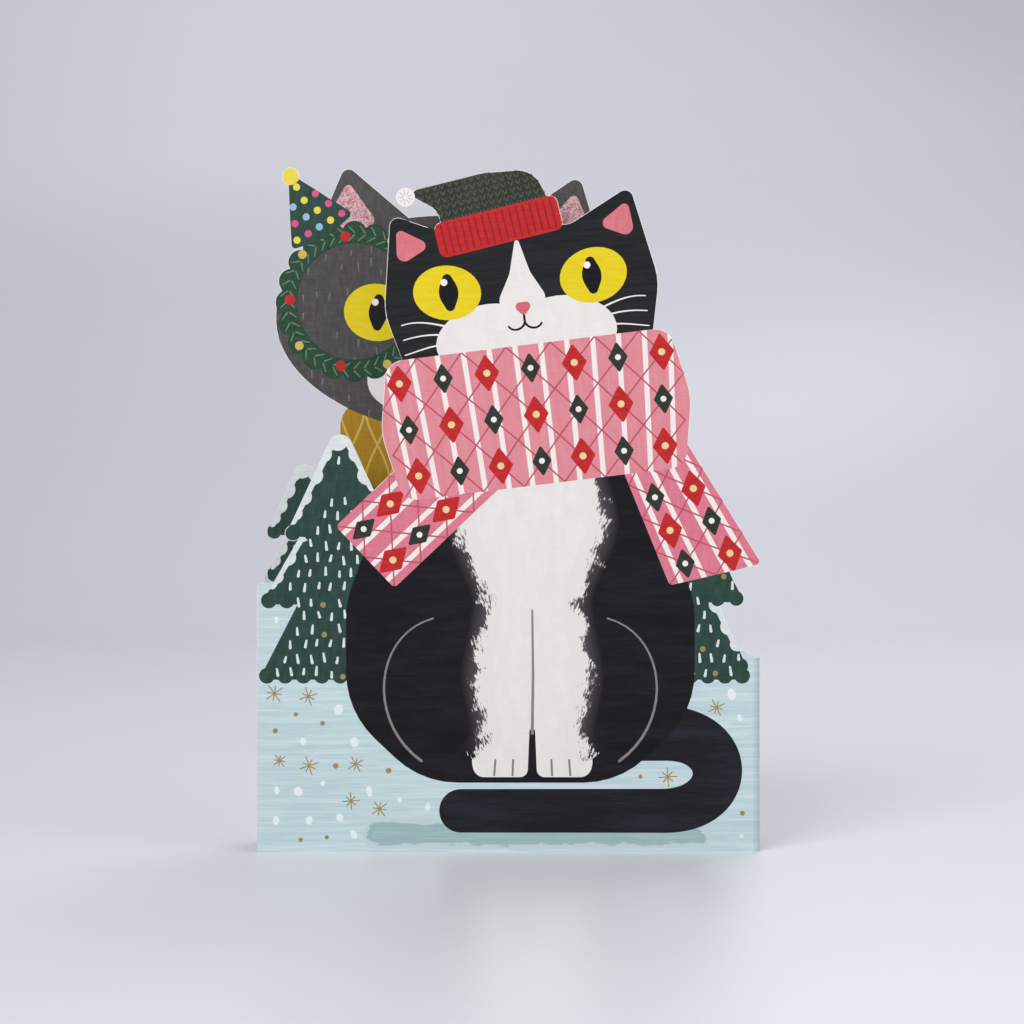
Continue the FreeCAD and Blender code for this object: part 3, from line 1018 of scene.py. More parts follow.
def dry_brush(name, ink_colour, thin_colour, base_colour, bristle_mm, turn=0):
    """Ink that thins and skips. V of the second map runs from full ink at 0 to bare base at 1."""
    ink, tree, shader = new_finish(name)
    place = add(tree, "UVMap", {"uv_map": "millimetres"})
    fade_map = add(tree, "UVMap", {"uv_map": "fade"})
    fade = add(tree, "SeparateXYZ", links={"Vector": (fade_map, "UV")})
    along = add(tree, "Mapping", stretched(bristle_mm, turn), {"Vector": (place, "UV")})
    bristles = add(tree, "TexNoise", flat_noise(1, 3, 0.7), {"Vector": (along, "Vector")})
    patch = add(tree, "TexNoise", flat_noise(patch_mm, 2), {"Vector": (place, "UV")})
    noise = add(tree, "Math", {"operation": "ADD"}, {0: (bristles, 0), 1: (patch, 0)})
    edge = add(tree, "Math", {"operation": "SUBTRACT"}, {0: (fade, "Y"), 1: (noise, 0)})
    share = add(tree, "MapRange", {"From Min": fully_inked, "From Max": fully_bare}, {"Value": (edge, 0)})
    thinning = add(tree, "Math", {"operation": "MULTIPLY"}, {0: (fade, "X"), 1: (fade, "Y")})
    thinned = add(tree, "Mix", two_colours(ink_colour, thin_colour), {"Factor": (thinning, 0)})
    bare = {"data_type": "RGBA", 7: linear(base_colour)}
    mixed = add(tree, "Mix", bare, {"Factor": (share, 0), 6: (thinned, 2)})
    bump = add(tree, "Bump", emboss, {"Height": (laid_ridges(tree, place), 0)})
    look = {**varnish, "Roughness": 0.45}
    set_up(tree, shader, look, {"Base Color": (mixed, 2), "Normal": (bump, "Normal")})
    return ink


def print_brushed_edge(name, line, width, ink):
    """Lays out a band along a line: full ink on its left side, bare base on its right side."""
    left, right = line_sides(line, [width / 2] * len(line))
    edges = list(zip(left, right))
    quads = [[a[0], a[1], b[1], b[0]] for a, b in zip(edges, edges[1:])]
    print_field(name, quads, front_panel, ink, fades=(line, width))


shade_edge = dry_brush("dry_brushed_teal_print", "#99b3b6", "#a6bdc0", "#bfd1d5", (14, 0.5))
coat_inks = ("#171619", "#6b6366", "#e3dfdc", (1.8, 0.5))
right_coat_edge = dry_brush("dry_brushed_black_print", *coat_inks, 70)
left_coat_edge = dry_brush("dry_brushed_black_left_print", *coat_inks, 110)
print("dry-brushed inks:", shade_edge.name, right_coat_edge.name, left_coat_edge.name)

# %% [markdown]
# First comes the shade under the tail, then the tail, then the body over the tail's root.

# %% Shade, tail and body
shade_edge_width = 2.4

print_field("tail_shade_print", [shade_outline], front_panel, shade_teal)
shade_round = [*shade_outline, shade_outline[0]]
print_brushed_edge("tail_shade_edge_print", shade_round, shade_edge_width, shade_edge)
print_field("tail_print", [tail_outline], front_panel, tail_black)
print_field("body_print", [body_outline], front_panel, coat_black)
print("tail line is", round(sum(math.dist(a, b) for a, b in zip(tail_line, tail_line[1:]))), "mm long")

# %% [markdown]
# The white of the coat is one shape: a bib, two forelegs and two paws. Along its sides the black
# was dabbed over the white with a nearly dry brush, so a band on each side mixes the two by
# noise, and the black turns to a thin brownish grey. Thin grey lines part the legs, mark the toes
# and round the haunches.

# %% Bib, forelegs and haunches
bib_across = 6.0
bib_side = [(13, 101, 0), (19, 83, 14), (11, 64, 12), (14.5, 44, 16), (11.5, 29, 8), (15.5, 23.8, 0)]
paw_side = [(15.5, 23.8, 4), (14.5, 18.9, 3), (1.2, 18.9, 2), (0.7, 31, 0.5)]
coat_edge_width = 8

right_half = [(bib_across + a, u, r) for a, u, r in bib_side[:-1] + paw_side]
bib_outline = rounded_outline(symmetric(right_half, bib_across))
print_field("bib_and_forelegs_print", [bib_outline], front_panel, chest_white)
right_side = [(bib_across + a, u, r) for a, u, r in bib_side]
left_side = mirrored(right_side, bib_across)
print_brushed_edge("bib_right_edge_print", rounded_outline(right_side), coat_edge_width, right_coat_edge)
print_brushed_edge("bib_left_edge_print", rounded_outline(left_side), coat_edge_width, left_coat_edge)

haunch = bent_line((cat_across + 25, 23), (cat_across + 39, 33), (cat_across + 37, 55), (cat_across + 22, 59))
leg_lines = [
    brush_stroke(haunch, 0.7, 0.4),
    brush_stroke([(2 * cat_across - a, u) for a, u in haunch], 0.7, 0.4),
    brush_stroke([(bib_across, 30), (bib_across + 0.2, 45), (bib_across, 61)], 0.8, 0.5),
]
for side in (-1, 1):
    for toe in (5.0, 9.6):
        ends = [(bib_across + side * toe, 19.4), (bib_across + side * toe * 0.97, 23.2)]
        leg_lines.append(brush_stroke(ends, 0.55))
print_field("leg_and_toe_lines_print", leg_lines, front_panel, line_grey)
print(len(leg_lines), "drawn lines on the body")

# %% [markdown]
# The scarf is knitted in pink with cream stripes and a traditional argyle: red and dark green
# diamonds, each with a small dot, and thin crossing lines. A grid laid over each piece, from its
# root to its hem, lets the stripes fan out with the cloth. Rows of diamonds at the root that
# another piece covers are left out, so that none peeps out from under it.

# %% Scarf pattern
stripe_width = 1.3
crossing_width = 0.4
red_diamond = (3.2, 4.9)
green_diamond = (2.5, 4.0)
diamond_corner = 0.4
gold_dot = 0.9
cream_dot = 0.75


def on_grid(grid, share, down):
    """A point of a four-cornered piece of cloth, by its share across and its share down."""
    upper = [a + (b - a) * share for a, b in zip(grid[0], grid[1])]
    lower = [a + (b - a) * share for a, b in zip(grid[2], grid[3])]
    return tuple(a + (b - a) * down for a, b in zip(upper, lower))


def diamond(place, half_width, half_height, degrees):
    """A diamond with slightly soft corners."""
    tips = ((0, half_height), (-half_width, 0), (0, -half_height), (half_width, 0))
    return rounded_outline([(*tip, diamond_corner) for tip in tips], place, degrees)


def print_scarf_piece(name, outline, grid, degrees, base, stripes, columns, rows, hidden_rows=0):
    """Lays out a piece of the scarf: its base, its stripes and its argyle below any hidden rows."""
    lines = [
        brush_stroke([on_grid(grid, (k + 0.5) / stripes, d) for d in (-0.05, 1.05)], stripe_width)
        for k in range(stripes)
    ]
    red, green, crossing, gold_dots, cream_dots = [], [], [], [], []
    for row in range(rows):
        for column in range(columns):
            for reach in (-1, 1):
                ends = [
                    on_grid(grid, (column + 0.5 + s * 0.5) / columns, (row + 0.5 + s * reach * 0.5) / rows)
                    for s in (-1, 1)
                ]
                crossing.append(brush_stroke(ends, crossing_width))
            if row < hidden_rows:
                continue
            place = on_grid(grid, (column + 0.5) / columns, (row + 0.5) / rows)
            if (row + column) % 2:
                green.append(diamond(place, *green_diamond, degrees))
                cream_dots.append(oval(*place, cream_dot, steps=16))
            else:
                red.append(diamond(place, *red_diamond, degrees))
                gold_dots.append(oval(*place, gold_dot, steps=16))
    print_field(name + "_print", [outline], front_panel, base)
    for part, outlines, ink in (
        ("stripes", lines, stripe_cream),
        ("crossing_lines", crossing, crossing_rose),
        ("red_diamonds", red, berry_red),
        ("green_diamonds", green, leaf_green),
        ("cream_dots", cream_dots, stripe_cream),
        ("gold_dots", gold_dots, pale_gold),
    ):
        print_field(f"{name}_{part}_print", outlines, front_panel, ink, inside=[outline])
    print(name, "has", len(red), "red and", len(green), "green diamonds")


# %% [markdown]
# The two ends hang out from under the band, so they are printed before it. Each one's root is
# tucked in far enough for the band to hide it.

# %% Scarf ends
cat_tilt = 7.0
scarf_across = 4.0
scarf_rise = 8.0
scarf_half_width = 36.0
scarf_height = 35.5
left_end_inset = 10.0
left_end_width = 21.5
left_end_length = 26.5
left_end_angle = 43.5
right_end_inset = 17.0
right_end_root_width = 17.5
right_end_hem_width = 24.0
right_end_length = 33.0
right_end_angle = 13.0
tucked_length = 10.5

scarf_centre = (cat_across + scarf_across, neck_height + scarf_rise)
half_up = scarf_height / 2
left_root = turned((-scarf_half_width + left_end_inset, -half_up + overlap), scarf_centre, cat_tilt)
left_half = left_end_width / 2
hem_left = right_end_root_width / 2 - overlap
right_root = turned((scarf_half_width - right_end_inset, -half_up + overlap), scarf_centre, cat_tilt)


def print_scarf_end(name, corners, root, angle, diamond_angle, hidden_rows=0):
    """Lays out a hanging end, from its corners: two at the root and two at the hem."""
    outline = rounded_outline(corners, root, angle)
    grid = [turned(corners[k][:2], root, angle) for k in (0, 1, 3, 2)]
    counts = {"stripes": 4, "columns": 2, "rows": 4, "hidden_rows": hidden_rows}
    print_scarf_piece(name, outline, grid, diamond_angle, scarf_end_pink, **counts)


left_corners = [
    (tucked_length, left_half, 0),
    (tucked_length, -left_half, 0),
    (-left_end_length, -left_half, cut_corner_radius),
    (-left_end_length, left_half, cut_corner_radius),
]
right_corners = [
    (0, overlap, 0),
    (right_end_root_width, overlap, 0),
    (hem_left + right_end_hem_width, -right_end_length, cut_corner_radius),
    (hem_left, -right_end_length, cut_corner_radius),
]
left_diamond_angle = left_end_angle + 90
print_scarf_end("left_scarf_end", left_corners, left_root, left_end_angle, left_diamond_angle)
print_scarf_end(
    "right_scarf_end", right_corners, right_root, right_end_angle, right_end_angle, hidden_rows=1
)

# %% [markdown]
# The head overlaps the body and tucks into the scarf, so it is printed under the band. Places on
# it are given from its middle, before its tilt.

# %% Head
head_rise = 34.0
head_half_width = 35.0
jaw_half_width = 30.0
head_top_height = 12.8
cheek_drop = 4.0
head_drop = 24.0
cheek_radius = 16.0
jaw_radius = 6.0
ear_height = 7.8
ear_width = 16.0
ear_tip_across = 30.5
ear_tip_radius = 2.2

head_centre = turned((0, head_rise), scarf_centre, cat_tilt)
left_head = [
    (-jaw_half_width, -head_drop, jaw_radius),
    (-head_half_width, -cheek_drop, cheek_radius),
    (-ear_tip_across, head_top_height + ear_height, ear_tip_radius),
    (ear_width - ear_tip_across, head_top_height, jaw_radius),
]
head_outline = rounded_outline(symmetric(left_head), head_centre, cat_tilt)
print_field("head_print", [head_outline], front_panel, head_black)
print("head", 2 * head_half_width, "mm wide, tilted", cat_tilt, "degrees")

# %% [markdown]
# Round yellow eyes with slit pupils, a pink nose and a small mouth are what every such cat has, so
# both cats' faces are drawn by the same functions. Each feature is a plain oval, a rounded shape or
# a thin bent stroke, and a small light glint sits at the upper left of each pupil.

# %% Features of a face
pupil = [(0, 6.3, 1.2), (-3.0, 0, 5), (0, -6.3, 1.2), (3.0, 0, 5)]
glint_left = 0.9
glint_radius = 0.9


def print_eyes(name, eyes, pupil_at, glint_up, centre, tilt, panel):
    """Lays out two eyes, with a slit pupil and a glint in each."""
    print_field(name + "eyes_print", eyes, panel, eye_yellow)
    across, up = pupil_at
    spots = [turned((side * across, up), centre, tilt) for side in (-1, 1)]
    pupils = [rounded_outline(pupil, spot, tilt) for spot in spots]
    print_field(name + "pupils_print", pupils, panel, pupil_black)
    spots = [turned((side * across - glint_left, glint_up), centre, tilt) for side in (-1, 1)]
    glints = [oval(*spot, glint_radius, steps=16) for spot in spots]
    print_field(name + "eye_glints_print", glints, panel, stripe_cream)


def lips(pulls, end_width, centre, tilt):
    """The two sides of a mouth, each a bent stroke, from the places that bend the right one."""
    strokes = []
    for side in (-1, 1):
        line = bent_line(*[(side * a, u) for a, u in pulls])
        strokes.append(brush_stroke([turned(p, centre, tilt) for p in line], 0.6, end_width))
    return strokes


print("a pupil is", 2 * pupil[0][1], "mm high")

# %% [markdown]
# The first cat also has a white blaze and muzzle, pink ears and whiskers.

# %% Face
def on_head(places):
    """Places given from the middle of the head, moved to the panel."""
    return [turned(p, head_centre, cat_tilt) for p in places]


blaze = rounded_outline(
    [(0.4, 12.0, 0.6), (-2.4, 2, 5), (-8, -8, 5), (8, -8, 5), (2.8, 2, 5)], head_centre, cat_tilt
)
cheeks = [oval(*on_head([(side * 10, -13.5)])[0], 13.0, 8.6, cat_tilt - side * 6) for side in (-1, 1)]
print_field("blaze_and_muzzle_print", [blaze, *cheeks], front_panel, chest_white, inside=[head_outline])
inner_ear = [(29.4, 17.0, 1.2), (21.0, 11.6, 1.5), (30.4, 7.0, 2.0)]
print_field("inner_ears_print", both_sides(inner_ear, head_centre, cat_tilt), front_panel, ear_pink)
eyes = [oval(*on_head([(side * 18.6, -0.8)])[0], 8.6, 6.9, cat_tilt + side * 10) for side in (-1, 1)]
print_eyes("", eyes, (18.2, -0.8), 1.9, head_centre, cat_tilt, front_panel)
nose = rounded_outline([(-3.1, -5.4, 1.1), (3.1, -5.4, 1.1), (0, -9.2, 1.0)], head_centre, cat_tilt)
print_field("nose_print", [nose], front_panel, nose_pink)
mouth = [brush_stroke(on_head([(0, -8.8), (0, -10.6)]), 0.6)]
mouth += lips([(0, -10.5), (0.6, -12.4), (3.2, -12.8), (4.2, -11.2)], 0.5, head_centre, cat_tilt)
whiskers = []
for side in (-1, 1):
    for root, end in ((-9.8, -7.6), (-12.0, -11.4), (-14.2, -15.2)):
        pulls = (side * 22, root + 1.2), (side * 26, end + 1.0)
        hair = bent_line((side * 18, root), *pulls, (side * 31, end))
        whiskers.append(brush_stroke(on_head(hair), 0.5, 0.28))
print_field("mouth_print", mouth, front_panel, pupil_black)
print_field("whiskers_print", whiskers, front_panel, stripe_cream, outside=[*cheeks, *eyes])
print(len(whiskers), "whiskers")

# %% [markdown]
# The band goes over the chin and the whiskers, as a scarf does. Its sides bulge like a pillow.

# %% Scarf band
scarf_bulge = 3.5
scarf_corner_radius = 5.0
scarf_side_radius = 18.0

scarf_side = scarf_half_width + scarf_bulge
band_outline = rounded_outline(
    [
        (-scarf_half_width, half_up, scarf_corner_radius),
        (scarf_half_width, half_up, scarf_corner_radius),
        (scarf_side, 0, scarf_side_radius),
        (scarf_half_width, -half_up, scarf_corner_radius),
        (-scarf_half_width, -half_up, scarf_corner_radius),
        (-scarf_side, 0, scarf_side_radius),
    ],
    scarf_centre,
    cat_tilt,
)
band_grid = [
    turned((side * half, up), scarf_centre, cat_tilt)
    for half, up in ((scarf_side, half_up), (scarf_half_width, -half_up))
    for side in (-1, 1)
]
print_scarf_piece(
    "scarf_band", band_outline, band_grid, cat_tilt, scarf_pink, stripes=12, columns=7, rows=3
)

# %% [markdown]
# The cap is knitted. Its ribbed cuff is drawn with darker strokes, and the crown with rows of
# small v-shaped stitches, about as wide as a real stitch would be at the cat's size. Strands of
# yarn run out from the middle of its bobble.

# %% Outlines of the cap
cap_across = -3.5
cap_tilt = 14.0
cuff_width = 32.0
cuff_height = 6.0
cuff_corner_radius = 2.0
crown_inset = 2.0
crown_height = 9.5
crown_radius = 10.0
crown_flop = 5.0
bobble_radius = 2.4

cap_centre = turned((cap_across, head_top_height), head_centre, cat_tilt)
cuff_half = cuff_width / 2
crown_top = cuff_height + crown_height
crown_tip = cuff_half + crown_flop
crown_foot = cuff_height - overlap / 2
left_cuff = [(-cuff_half, -overlap, cuff_corner_radius), (-cuff_half, cuff_height, cuff_corner_radius)]
cuff_outline = rounded_outline(symmetric(left_cuff), cap_centre, cap_tilt)
crown_outline = rounded_outline(
    [
        (cuff_half - crown_inset, crown_foot, 0),
        (cuff_half - 2 * crown_inset, crown_top - crown_inset, crown_radius),
        (0, crown_top, 2 * crown_radius),
        (-crown_tip, crown_top, cut_corner_radius),
        (-cuff_half + crown_inset, cuff_height + crown_height / 3, crown_radius),
        (-cuff_half + crown_inset, crown_foot, 0),
    ],
    cap_centre,
    cap_tilt,
)
bobble_at = turned((-crown_tip, crown_top - bobble_radius / 2), cap_centre, cap_tilt)
print("cuff", cuff_width, "mm wide, crown", crown_height, "mm high")

# %% [markdown]
# A stitch is two strokes that meet at its foot. Stitches and ribs are laid on the cap before its
# tilt, in even rows.

# %% Knitted cap
stitch_rows = 6
stitch_columns = 22
stitch_gap = (1.9, 1.75)
stitch_reach = (0.62, 1.0)
rib_count = 17
rib_gap = 1.775
rib_side_inset = 1.8
rib_end_inset = 0.9
strand_count = 9

rib_red = painted_ink("rib_red", "#941f24", "#a32a2d", (1, 3))
stitch_olive = painted_ink("stitch_olive", "#494d41", "#575b4d", (1, 1))
yarn_shade = painted_ink("yarn_shade", "#c9bfb8", "#d3cac3", (1, 1), 0.5)


def on_cap(places):
    """Places given from the middle of the cuff's foot, moved to the panel."""
    return [turned(p, cap_centre, cap_tilt) for p in places]


print_field("cap_crown_print", [crown_outline], front_panel, knit_olive)
stitches = []
for row in range(stitch_rows):
    for column in range(stitch_columns):
        at = (-crown_tip + stitch_gap[0] * column, crown_foot + 1.0 + stitch_gap[1] * row)
        for side in (-1, 1):
            ends = on_cap([at, (at[0] + side * stitch_reach[0], at[1] + stitch_reach[1])])
            stitches.append(brush_stroke(ends, 0.34))
print_field("cap_stitches_print", stitches, front_panel, stitch_olive, inside=[crown_outline])
print_field("cap_cuff_print", [cuff_outline], front_panel, berry_red)
ribs = []
for k in range(rib_count):
    across = -cuff_half + rib_side_inset + rib_gap * k
    ends = on_cap([(across, -overlap + rib_end_inset), (across, cuff_height - rib_end_inset)])
    ribs.append(brush_stroke(ends, 0.55))
print_field("cap_ribs_print", ribs, front_panel, rib_red)
print_field("cap_bobble_print", [oval(*bobble_at, bobble_radius)], front_panel, stripe_cream)
strands = []
for k in range(strand_count):
    ends = [turned((a, 0), bobble_at, 22 + 360 * k / strand_count) for a in (0.7, 1.9)]
    strands.append(brush_stroke(ends, 0.3, 0.2))
print_field("cap_bobble_yarn_print", strands, front_panel, yarn_shade)
print(len(ribs), "ribs and", len(stitches), "strokes of stitches")

# %% [markdown]
# The middle panel shows its picture over the front cat's shoulder, and its ground runs on round
# the outside of the left fold. A grey cat with a mustard scarf and a party hat looks out, with a
# green wreath hung before its face.

# %% Ground and fir of the middle panel
hill_radius = 25.0
middle_hill_height = 74.0
bank_height = 69.0
bank_top_inset = 18.0
bank_foot_inset = 8.5
bank_foot_rise = 8.5
bank_radius = 6.0
middle_fir_rise = 33.5
middle_fir_inset = 9.5
middle_fir_tiers = [(0, 23, 10), (11, 34, 10)]
friend_across = -14.5

middle_ground_outline = rounded_outline(
    [
        (-middle_half, 0, 0),
        (-middle_half, left_fold_height, 0),
        (-middle_half + shoulder_length, left_fold_height, hill_radius),
        (friend_across, middle_hill_height, hill_radius),
        (middle_half - bank_top_inset, bank_height, bank_radius),
        (middle_half - bank_foot_inset, right_fold_height + bank_foot_rise, bank_radius),
        (middle_half - slope_length, right_fold_height + slope_rise, bank_radius),
        (middle_half, right_fold_height, 0),
        (middle_half, 0, 0),
    ]
)
print_field("middle_ground_print", [middle_ground_outline], middle_panel, ice_blue)
# The left fold gets the same darker blue: painted shade on the crease.
print_round_fold("left_fold_print", left_axis, 90 + fold_turn, -fold_turn, left_fold_height, -middle_half)
middle_fir_at = (-middle_half + middle_fir_inset, left_fold_height + middle_fir_rise)
print_fir("middle_fir", *middle_fir_at, middle_fir_tiers, middle_panel, 13)


def on_middle_snow(place):
    """Whether a place lies on the middle panel's ground."""
    return is_inside(place, middle_ground_outline)


dot_places = scattered(40, (-60, 60), (4, 66), 8, random.Random(31), on_middle_snow)
snow_dots = [oval(*place, 0.7, steps=14) for place in dot_places]
print_field("middle_snow_dots_print", snow_dots, middle_panel, stripe_cream)
print(len(snow_dots), "dots of snow on the middle panel")

# %% [markdown]
# Glitter is small flakes of coated foil in clear varnish, each with its own tilt, so that a few of
# them flash. The flakes are 0.2 mm in life and drawn at 0.35 mm.

# %% Glitter
glitter_mm = 0.35


def foil_glitter():
    """Pink glitter, each flake with its own colour and tilt."""
    finish, tree, shader = new_finish("pink_foil_glitter")
    place = add(tree, "UVMap", {"uv_map": "millimetres"})
    cells = {"voronoi_dimensions": "2D", "Scale": 1 / glitter_mm}
    flakes = add(tree, "TexVoronoi", cells, {"Vector": (place, "UV")})
    parts = add(tree, "SeparateXYZ", links={"Vector": (flakes, "Color")})
    tint = add(tree, "Mix", two_colours("#b06a79", "#f2cbd0"), {"Factor": (parts, "X")})
    bump = add(tree, "Bump", {"Strength": 0.8, "Distance": 0.0001}, {"Height": (parts, "Y")})
    look = {"Metallic": 0.5, "Roughness": 0.3}
    set_up(tree, shader, look, {"Base Color": (tint, 2), "Normal": (bump, "Normal")})
    return finish


pink_glitter = foil_glitter()
print("glitter is", pink_glitter.name)

# %% [markdown]
# The second cat is a wide oval head with two ears, over a mustard scarf with crossing cable lines.
# Its ears are filled with the glitter.

# %% Second cat
friend_up = 134.0
friend_tilt = -3.5
friend_half_width = 46.5
friend_half_height = 28.0
friend_ear_across = 30.5
friend_ear_rise = 12.0
friend_ear_height = 27.5
friend_ear_width = 28.0
friend_ear_lean = 0.65
collar_half_width = 29.5
collar_height = 22.0
collar_overlap = 8.0
collar_corner_radius = 6.0
friend_body_half_width = 26.0
cable_gap = 6.6
cable_count = 9
cable_half_height = 9

friend_centre = (friend_across, friend_up)
friend_tip = friend_half_height + friend_ear_rise
outer = friend_ear_across + (1 - friend_ear_lean) * friend_ear_width
inner = friend_ear_across - friend_ear_lean * friend_ear_width
skull = oval(*friend_centre, friend_half_width, friend_half_height, friend_tilt, steps=90)
friend_ear = [
    (outer, friend_tip - friend_ear_height, 0),
    (friend_ear_across, friend_tip, ear_tip_radius),
    (inner, friend_tip - friend_ear_height / 2, 0),
    (friend_ear_across, 0, 0),
]
friend_ears = both_sides(friend_ear, friend_centre, friend_tilt)
collar_top = friend_up - friend_half_height + collar_overlap
collar_middle = collar_top - collar_height / 2
collar_left = friend_across - collar_half_width
chest_left = friend_across - friend_body_half_width
left_chest = [(chest_left, collar_middle, 0), (chest_left, left_fold_height - overlap, 0)]
chest_outline = rounded_outline(symmetric(left_chest, friend_across))
left_collar = [
    (collar_left, collar_top - collar_height, collar_corner_radius),
    (collar_left, collar_top, collar_corner_radius),
]
collar_outline = rounded_outline(symmetric(left_collar, friend_across))
print_field(
    "second_cat_chest_print", [chest_outline], middle_panel, cat_grey, outside=[middle_ground_outline]
)
print_field("second_cat_scarf_print", [collar_outline], middle_panel, mustard)
cable = []
for k in range(cable_count):
    left = collar_left + cable_gap * k
    for side in (-1, 1):
        line = bent_line(
            (left, collar_middle - side * cable_half_height),
            (left + 1, collar_middle - side * 2),
            (left + cable_gap - 1, collar_middle + side * 2),
            (left + cable_gap, collar_middle + side * cable_half_height),
        )
        cable.append(brush_stroke(line, 0.55))
print_field("second_cat_scarf_lines_print", cable, middle_panel, gold_line, inside=[collar_outline])
print_field("second_cat_head_print", [skull, *friend_ears], middle_panel, cat_grey)
friend_inner_ear = [(29.6, 35.5, 1.2), (37.0, 20.5, 2.0), (20.5, 24.5, 2.0)]
glitter_ears = both_sides(friend_inner_ear, friend_centre, friend_tilt)
print_field("second_cat_glitter_ears_print", glitter_ears, middle_panel, pink_glitter)
print("second cat's head is", 2 * friend_half_width, "mm wide, its ears are", len(friend_ears))

# %% [markdown]
# Its face is drawn like the first one's, and its fur with short upright strokes over the grey.

# %% Face and fur of the second cat
def on_friend(across, up):
    """A place given from the middle of the second cat's head."""
    return turned((across, up), friend_centre, friend_tilt)


def on_skull(place):
    """Whether a place lies on the second cat's head."""
    return is_inside(place, skull)


friend_cheeks = [oval(*on_friend(side * 9, -14), 12.5, 9.0, side * -8) for side in (-1, 1)]
print_field("second_cat_muzzle_print", friend_cheeks, middle_panel, chest_white, inside=[skull])
friend_eyes = [oval(*on_friend(side * 20, 2), 8.6, 7.4, side * 8) for side in (-1, 1)]
print_eyes("second_cat_", friend_eyes, (19.6, 2), 4.6, friend_centre, friend_tilt, middle_panel)
friend_nose = rounded_outline([(-3.2, -6.2, 1.1), (3.2, -6.2, 1.1), (0, -10, 1)], friend_centre, friend_tilt)
print_field("second_cat_nose_print", [friend_nose], middle_panel, nose_pink)
friend_mouth = lips([(0, -9.6), (1, -13.6), (4, -14), (5, -12)], 0.6, friend_centre, friend_tilt)
print_field("second_cat_mouth_print", friend_mouth, middle_panel, pupil_black)
fur_chance = random.Random(41)
fur = []
for place in scattered(150, (-62, 33), (107, 160), 3.2, fur_chance, on_skull):
    tip = (place[0] + fur_chance.uniform(-0.3, 0.3), place[1] - fur_chance.uniform(1.2, 2.2))
    fur.append(brush_stroke([place, tip], 0.4, 0.2))
fur_grey = painted_ink("fur_grey", "#73706f", "#7d7a79", (1, 2), 0.5)
bare_of_fur = [*friend_cheeks, *friend_eyes, friend_nose]
print_field("second_cat_fur_print", fur, middle_panel, fur_grey, inside=[skull], outside=bare_of_fur)
print(len(fur), "strokes of fur")

# %% [markdown]
# The wreath is a ring of fir twigs with round baubles. Pairs of needles branch off all round it,
# the way twigs overlap when a wreath is bound. It is die-cut with the panel, so its fields end at
# the board's edge.

# %% Wreath
wreath_across = -26.0
wreath_up = 4.5
wreath_radius = 17.6
wreath_leaf_radius = 3.3
wreath_leaves = 20
wreath_width = 2.6
needle_pairs = 2 * wreath_leaves
bauble_count = 9
first_bauble_angle = 18

wreath_centre = on_friend(wreath_across, wreath_up)


def on_wreath(outward, sideways, degrees):
    """A place by its distance out from the wreath's line, along it, and its angle round it."""
    return turned((wreath_radius + outward, sideways), wreath_centre, degrees)


leaf_places = [on_wreath(0, 0, 360 * i / wreath_leaves) for i in range(wreath_leaves)]
leaves = [oval(*place, wreath_leaf_radius, steps=24) for place in leaf_places]
ring = oval(*wreath_centre, wreath_radius, steps=72)
opening_outline = oval(*wreath_centre, wreath_radius - wreath_width, steps=72)
print_field("wreath_print", [ring, *leaves], middle_panel, wreath_green, outside=[opening_outline])
leaf_light = painted_ink("leaf_light", "#5f7f68", "#6d8c76", (1, 1), 0.5)
needles = []
for i in range(needle_pairs):
    for side in (-1, 1):
        reaches = ((side * 0.35, 0), (side * 1.9, 1.5))
        needle = [on_wreath(*reach, 360 * i / needle_pairs) for reach in reaches]
        needles.append(brush_stroke(needle, 0.42, 0.25))
print_field("wreath_needles_print", needles, middle_panel, leaf_light)
baubles = [
    on_wreath(0.8 if i % 2 else -0.6, 0, first_bauble_angle + 360 * i / bauble_count)
    for i in range(bauble_count)
]
red_baubles = [oval(*b, 1.35, steps=20) for b in baubles[::2]]
print_field("wreath_red_baubles_print", red_baubles, middle_panel, berry_red)
gold_baubles = [oval(*b, 1.15, steps=20) for b in baubles[1::2]]
print_field("wreath_gold_baubles_print", gold_baubles, middle_panel, gold_line)
print(len(needles), "needles and", len(baubles), "baubles")

# %% [markdown]
# The party hat is a rolled paper cone with rows of dots in three colours and a bobble on its tip.

# %% Party hat
hat_width = 19.0
hat_height = 18.0
hat_angle = 30.0
hat_sag = 1.8
hat_inset = 11.0
hat_seat = 6.0
hat_bobble_radius = 2.3
hat_dot_radius = 0.95
hat_dot_gap = (3.4, 4.0)
hat_dot_foot = 1.6
dots_in_row = (5, 4, 3, 1)
dot_colours = {
    "yellow": ("#e3cf45", "#ead966"),
    "pink": ("#cf4f83", "#da6a96"),
    "blue": ("#8fb4cf", "#a3c3d9"),
}

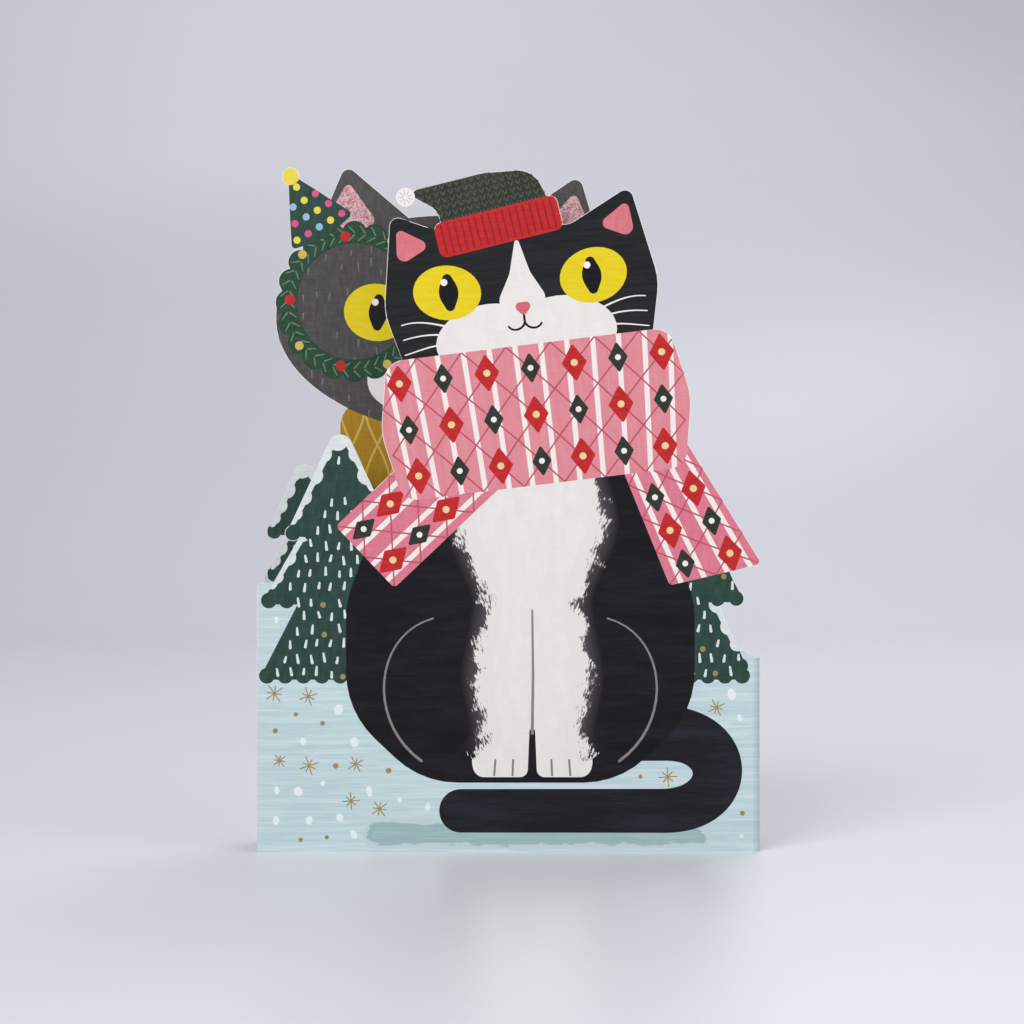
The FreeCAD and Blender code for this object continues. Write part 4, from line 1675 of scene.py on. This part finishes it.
hat_foot = on_friend(-friend_half_width + hat_inset, friend_half_height - hat_seat)
hat_half = hat_width / 2
cone_corners = [
    (-hat_half, 0, cut_corner_radius),
    (0, hat_height, cut_corner_radius),
    (hat_half, 0, cut_corner_radius),
    (0, -hat_sag, hat_width),
]
cone_outline = rounded_outline(cone_corners, hat_foot, hat_angle)
print_field("party_hat_print", [cone_outline], middle_panel, fir_green)
hat_dots = [[] for _ in dot_colours]
for row, width in enumerate(dots_in_row):
    for k in range(width):
        at = ((k - (width - 1) / 2) * hat_dot_gap[0], hat_dot_foot + hat_dot_gap[1] * row)
        dot = oval(*turned(at, hat_foot, hat_angle), hat_dot_radius, steps=18)
        hat_dots[(row + k) % len(dot_colours)].append(dot)
dot_inks = [painted_ink(name + "_dot", *pair, (1, 1), 0.5) for name, pair in dot_colours.items()]
for name, dots, dot_ink in zip(dot_colours, hat_dots, dot_inks):
    print_field(name + "_hat_dots_print", dots, middle_panel, dot_ink, inside=[cone_outline])
hat_tip = turned((0, hat_height - hat_bobble_radius / 2), hat_foot, hat_angle)
print_field("party_hat_bobble_print", [oval(*hat_tip, hat_bobble_radius)], middle_panel, dot_inks[0])
print(sum(len(dots) for dots in hat_dots), "dots on the hat")

# %% [markdown]
# The back panel closes the scene with a plain hill and two firs. It shows from above and from
# the right, through the gap of the second fold. Its rear face stays white, like the other backs.

# %% Back panel
back_hill_height = 60.0
back_end_height = 45.0
back_left_fir_rise = 21.0
back_left_fir_inset = 14.0
back_left_fir_tiers = [(0, 18, 10), (9, 30, 12)]
back_right_fir_rise = 24.0
back_right_fir_inset = 35.0
back_right_fir_tiers = [(0, 18, 10), (9, 32, 12.5)]

back_ground_outline = rounded_outline(
    [
        (-back_half, 0, 0),
        (-back_half, left_fold_height, 0),
        (-back_half + shoulder_length, left_fold_height, hill_radius),
        (0, back_hill_height, hill_radius),
        (back_half, back_end_height, cut_corner_radius),
        (back_half, 0, 0),
    ]
)
print_field("back_ground_print", [back_ground_outline], back_panel, ice_blue)
print("back panel is", round(back_flat, 1), "mm wide")
back_left_at = (-back_half + back_left_fir_inset, left_fold_height + back_left_fir_rise)
right_across = back_half - back_right_fir_inset
right_ground = back_hill_height + (back_end_height - back_hill_height) * right_across / back_half
back_right_at = (right_across, right_ground + back_right_fir_rise)
print_fir("back_left_fir", *back_left_at, back_left_fir_tiers, back_panel, 14)
print_fir("back_right_fir", *back_right_at, back_right_fir_tiers, back_panel, 15)

# %% [markdown]
# All fields are laid out, so each panel is printed in one go.

# %% Print the panels
for panel in (front_panel, middle_panel, back_panel):
    print_panel(panel)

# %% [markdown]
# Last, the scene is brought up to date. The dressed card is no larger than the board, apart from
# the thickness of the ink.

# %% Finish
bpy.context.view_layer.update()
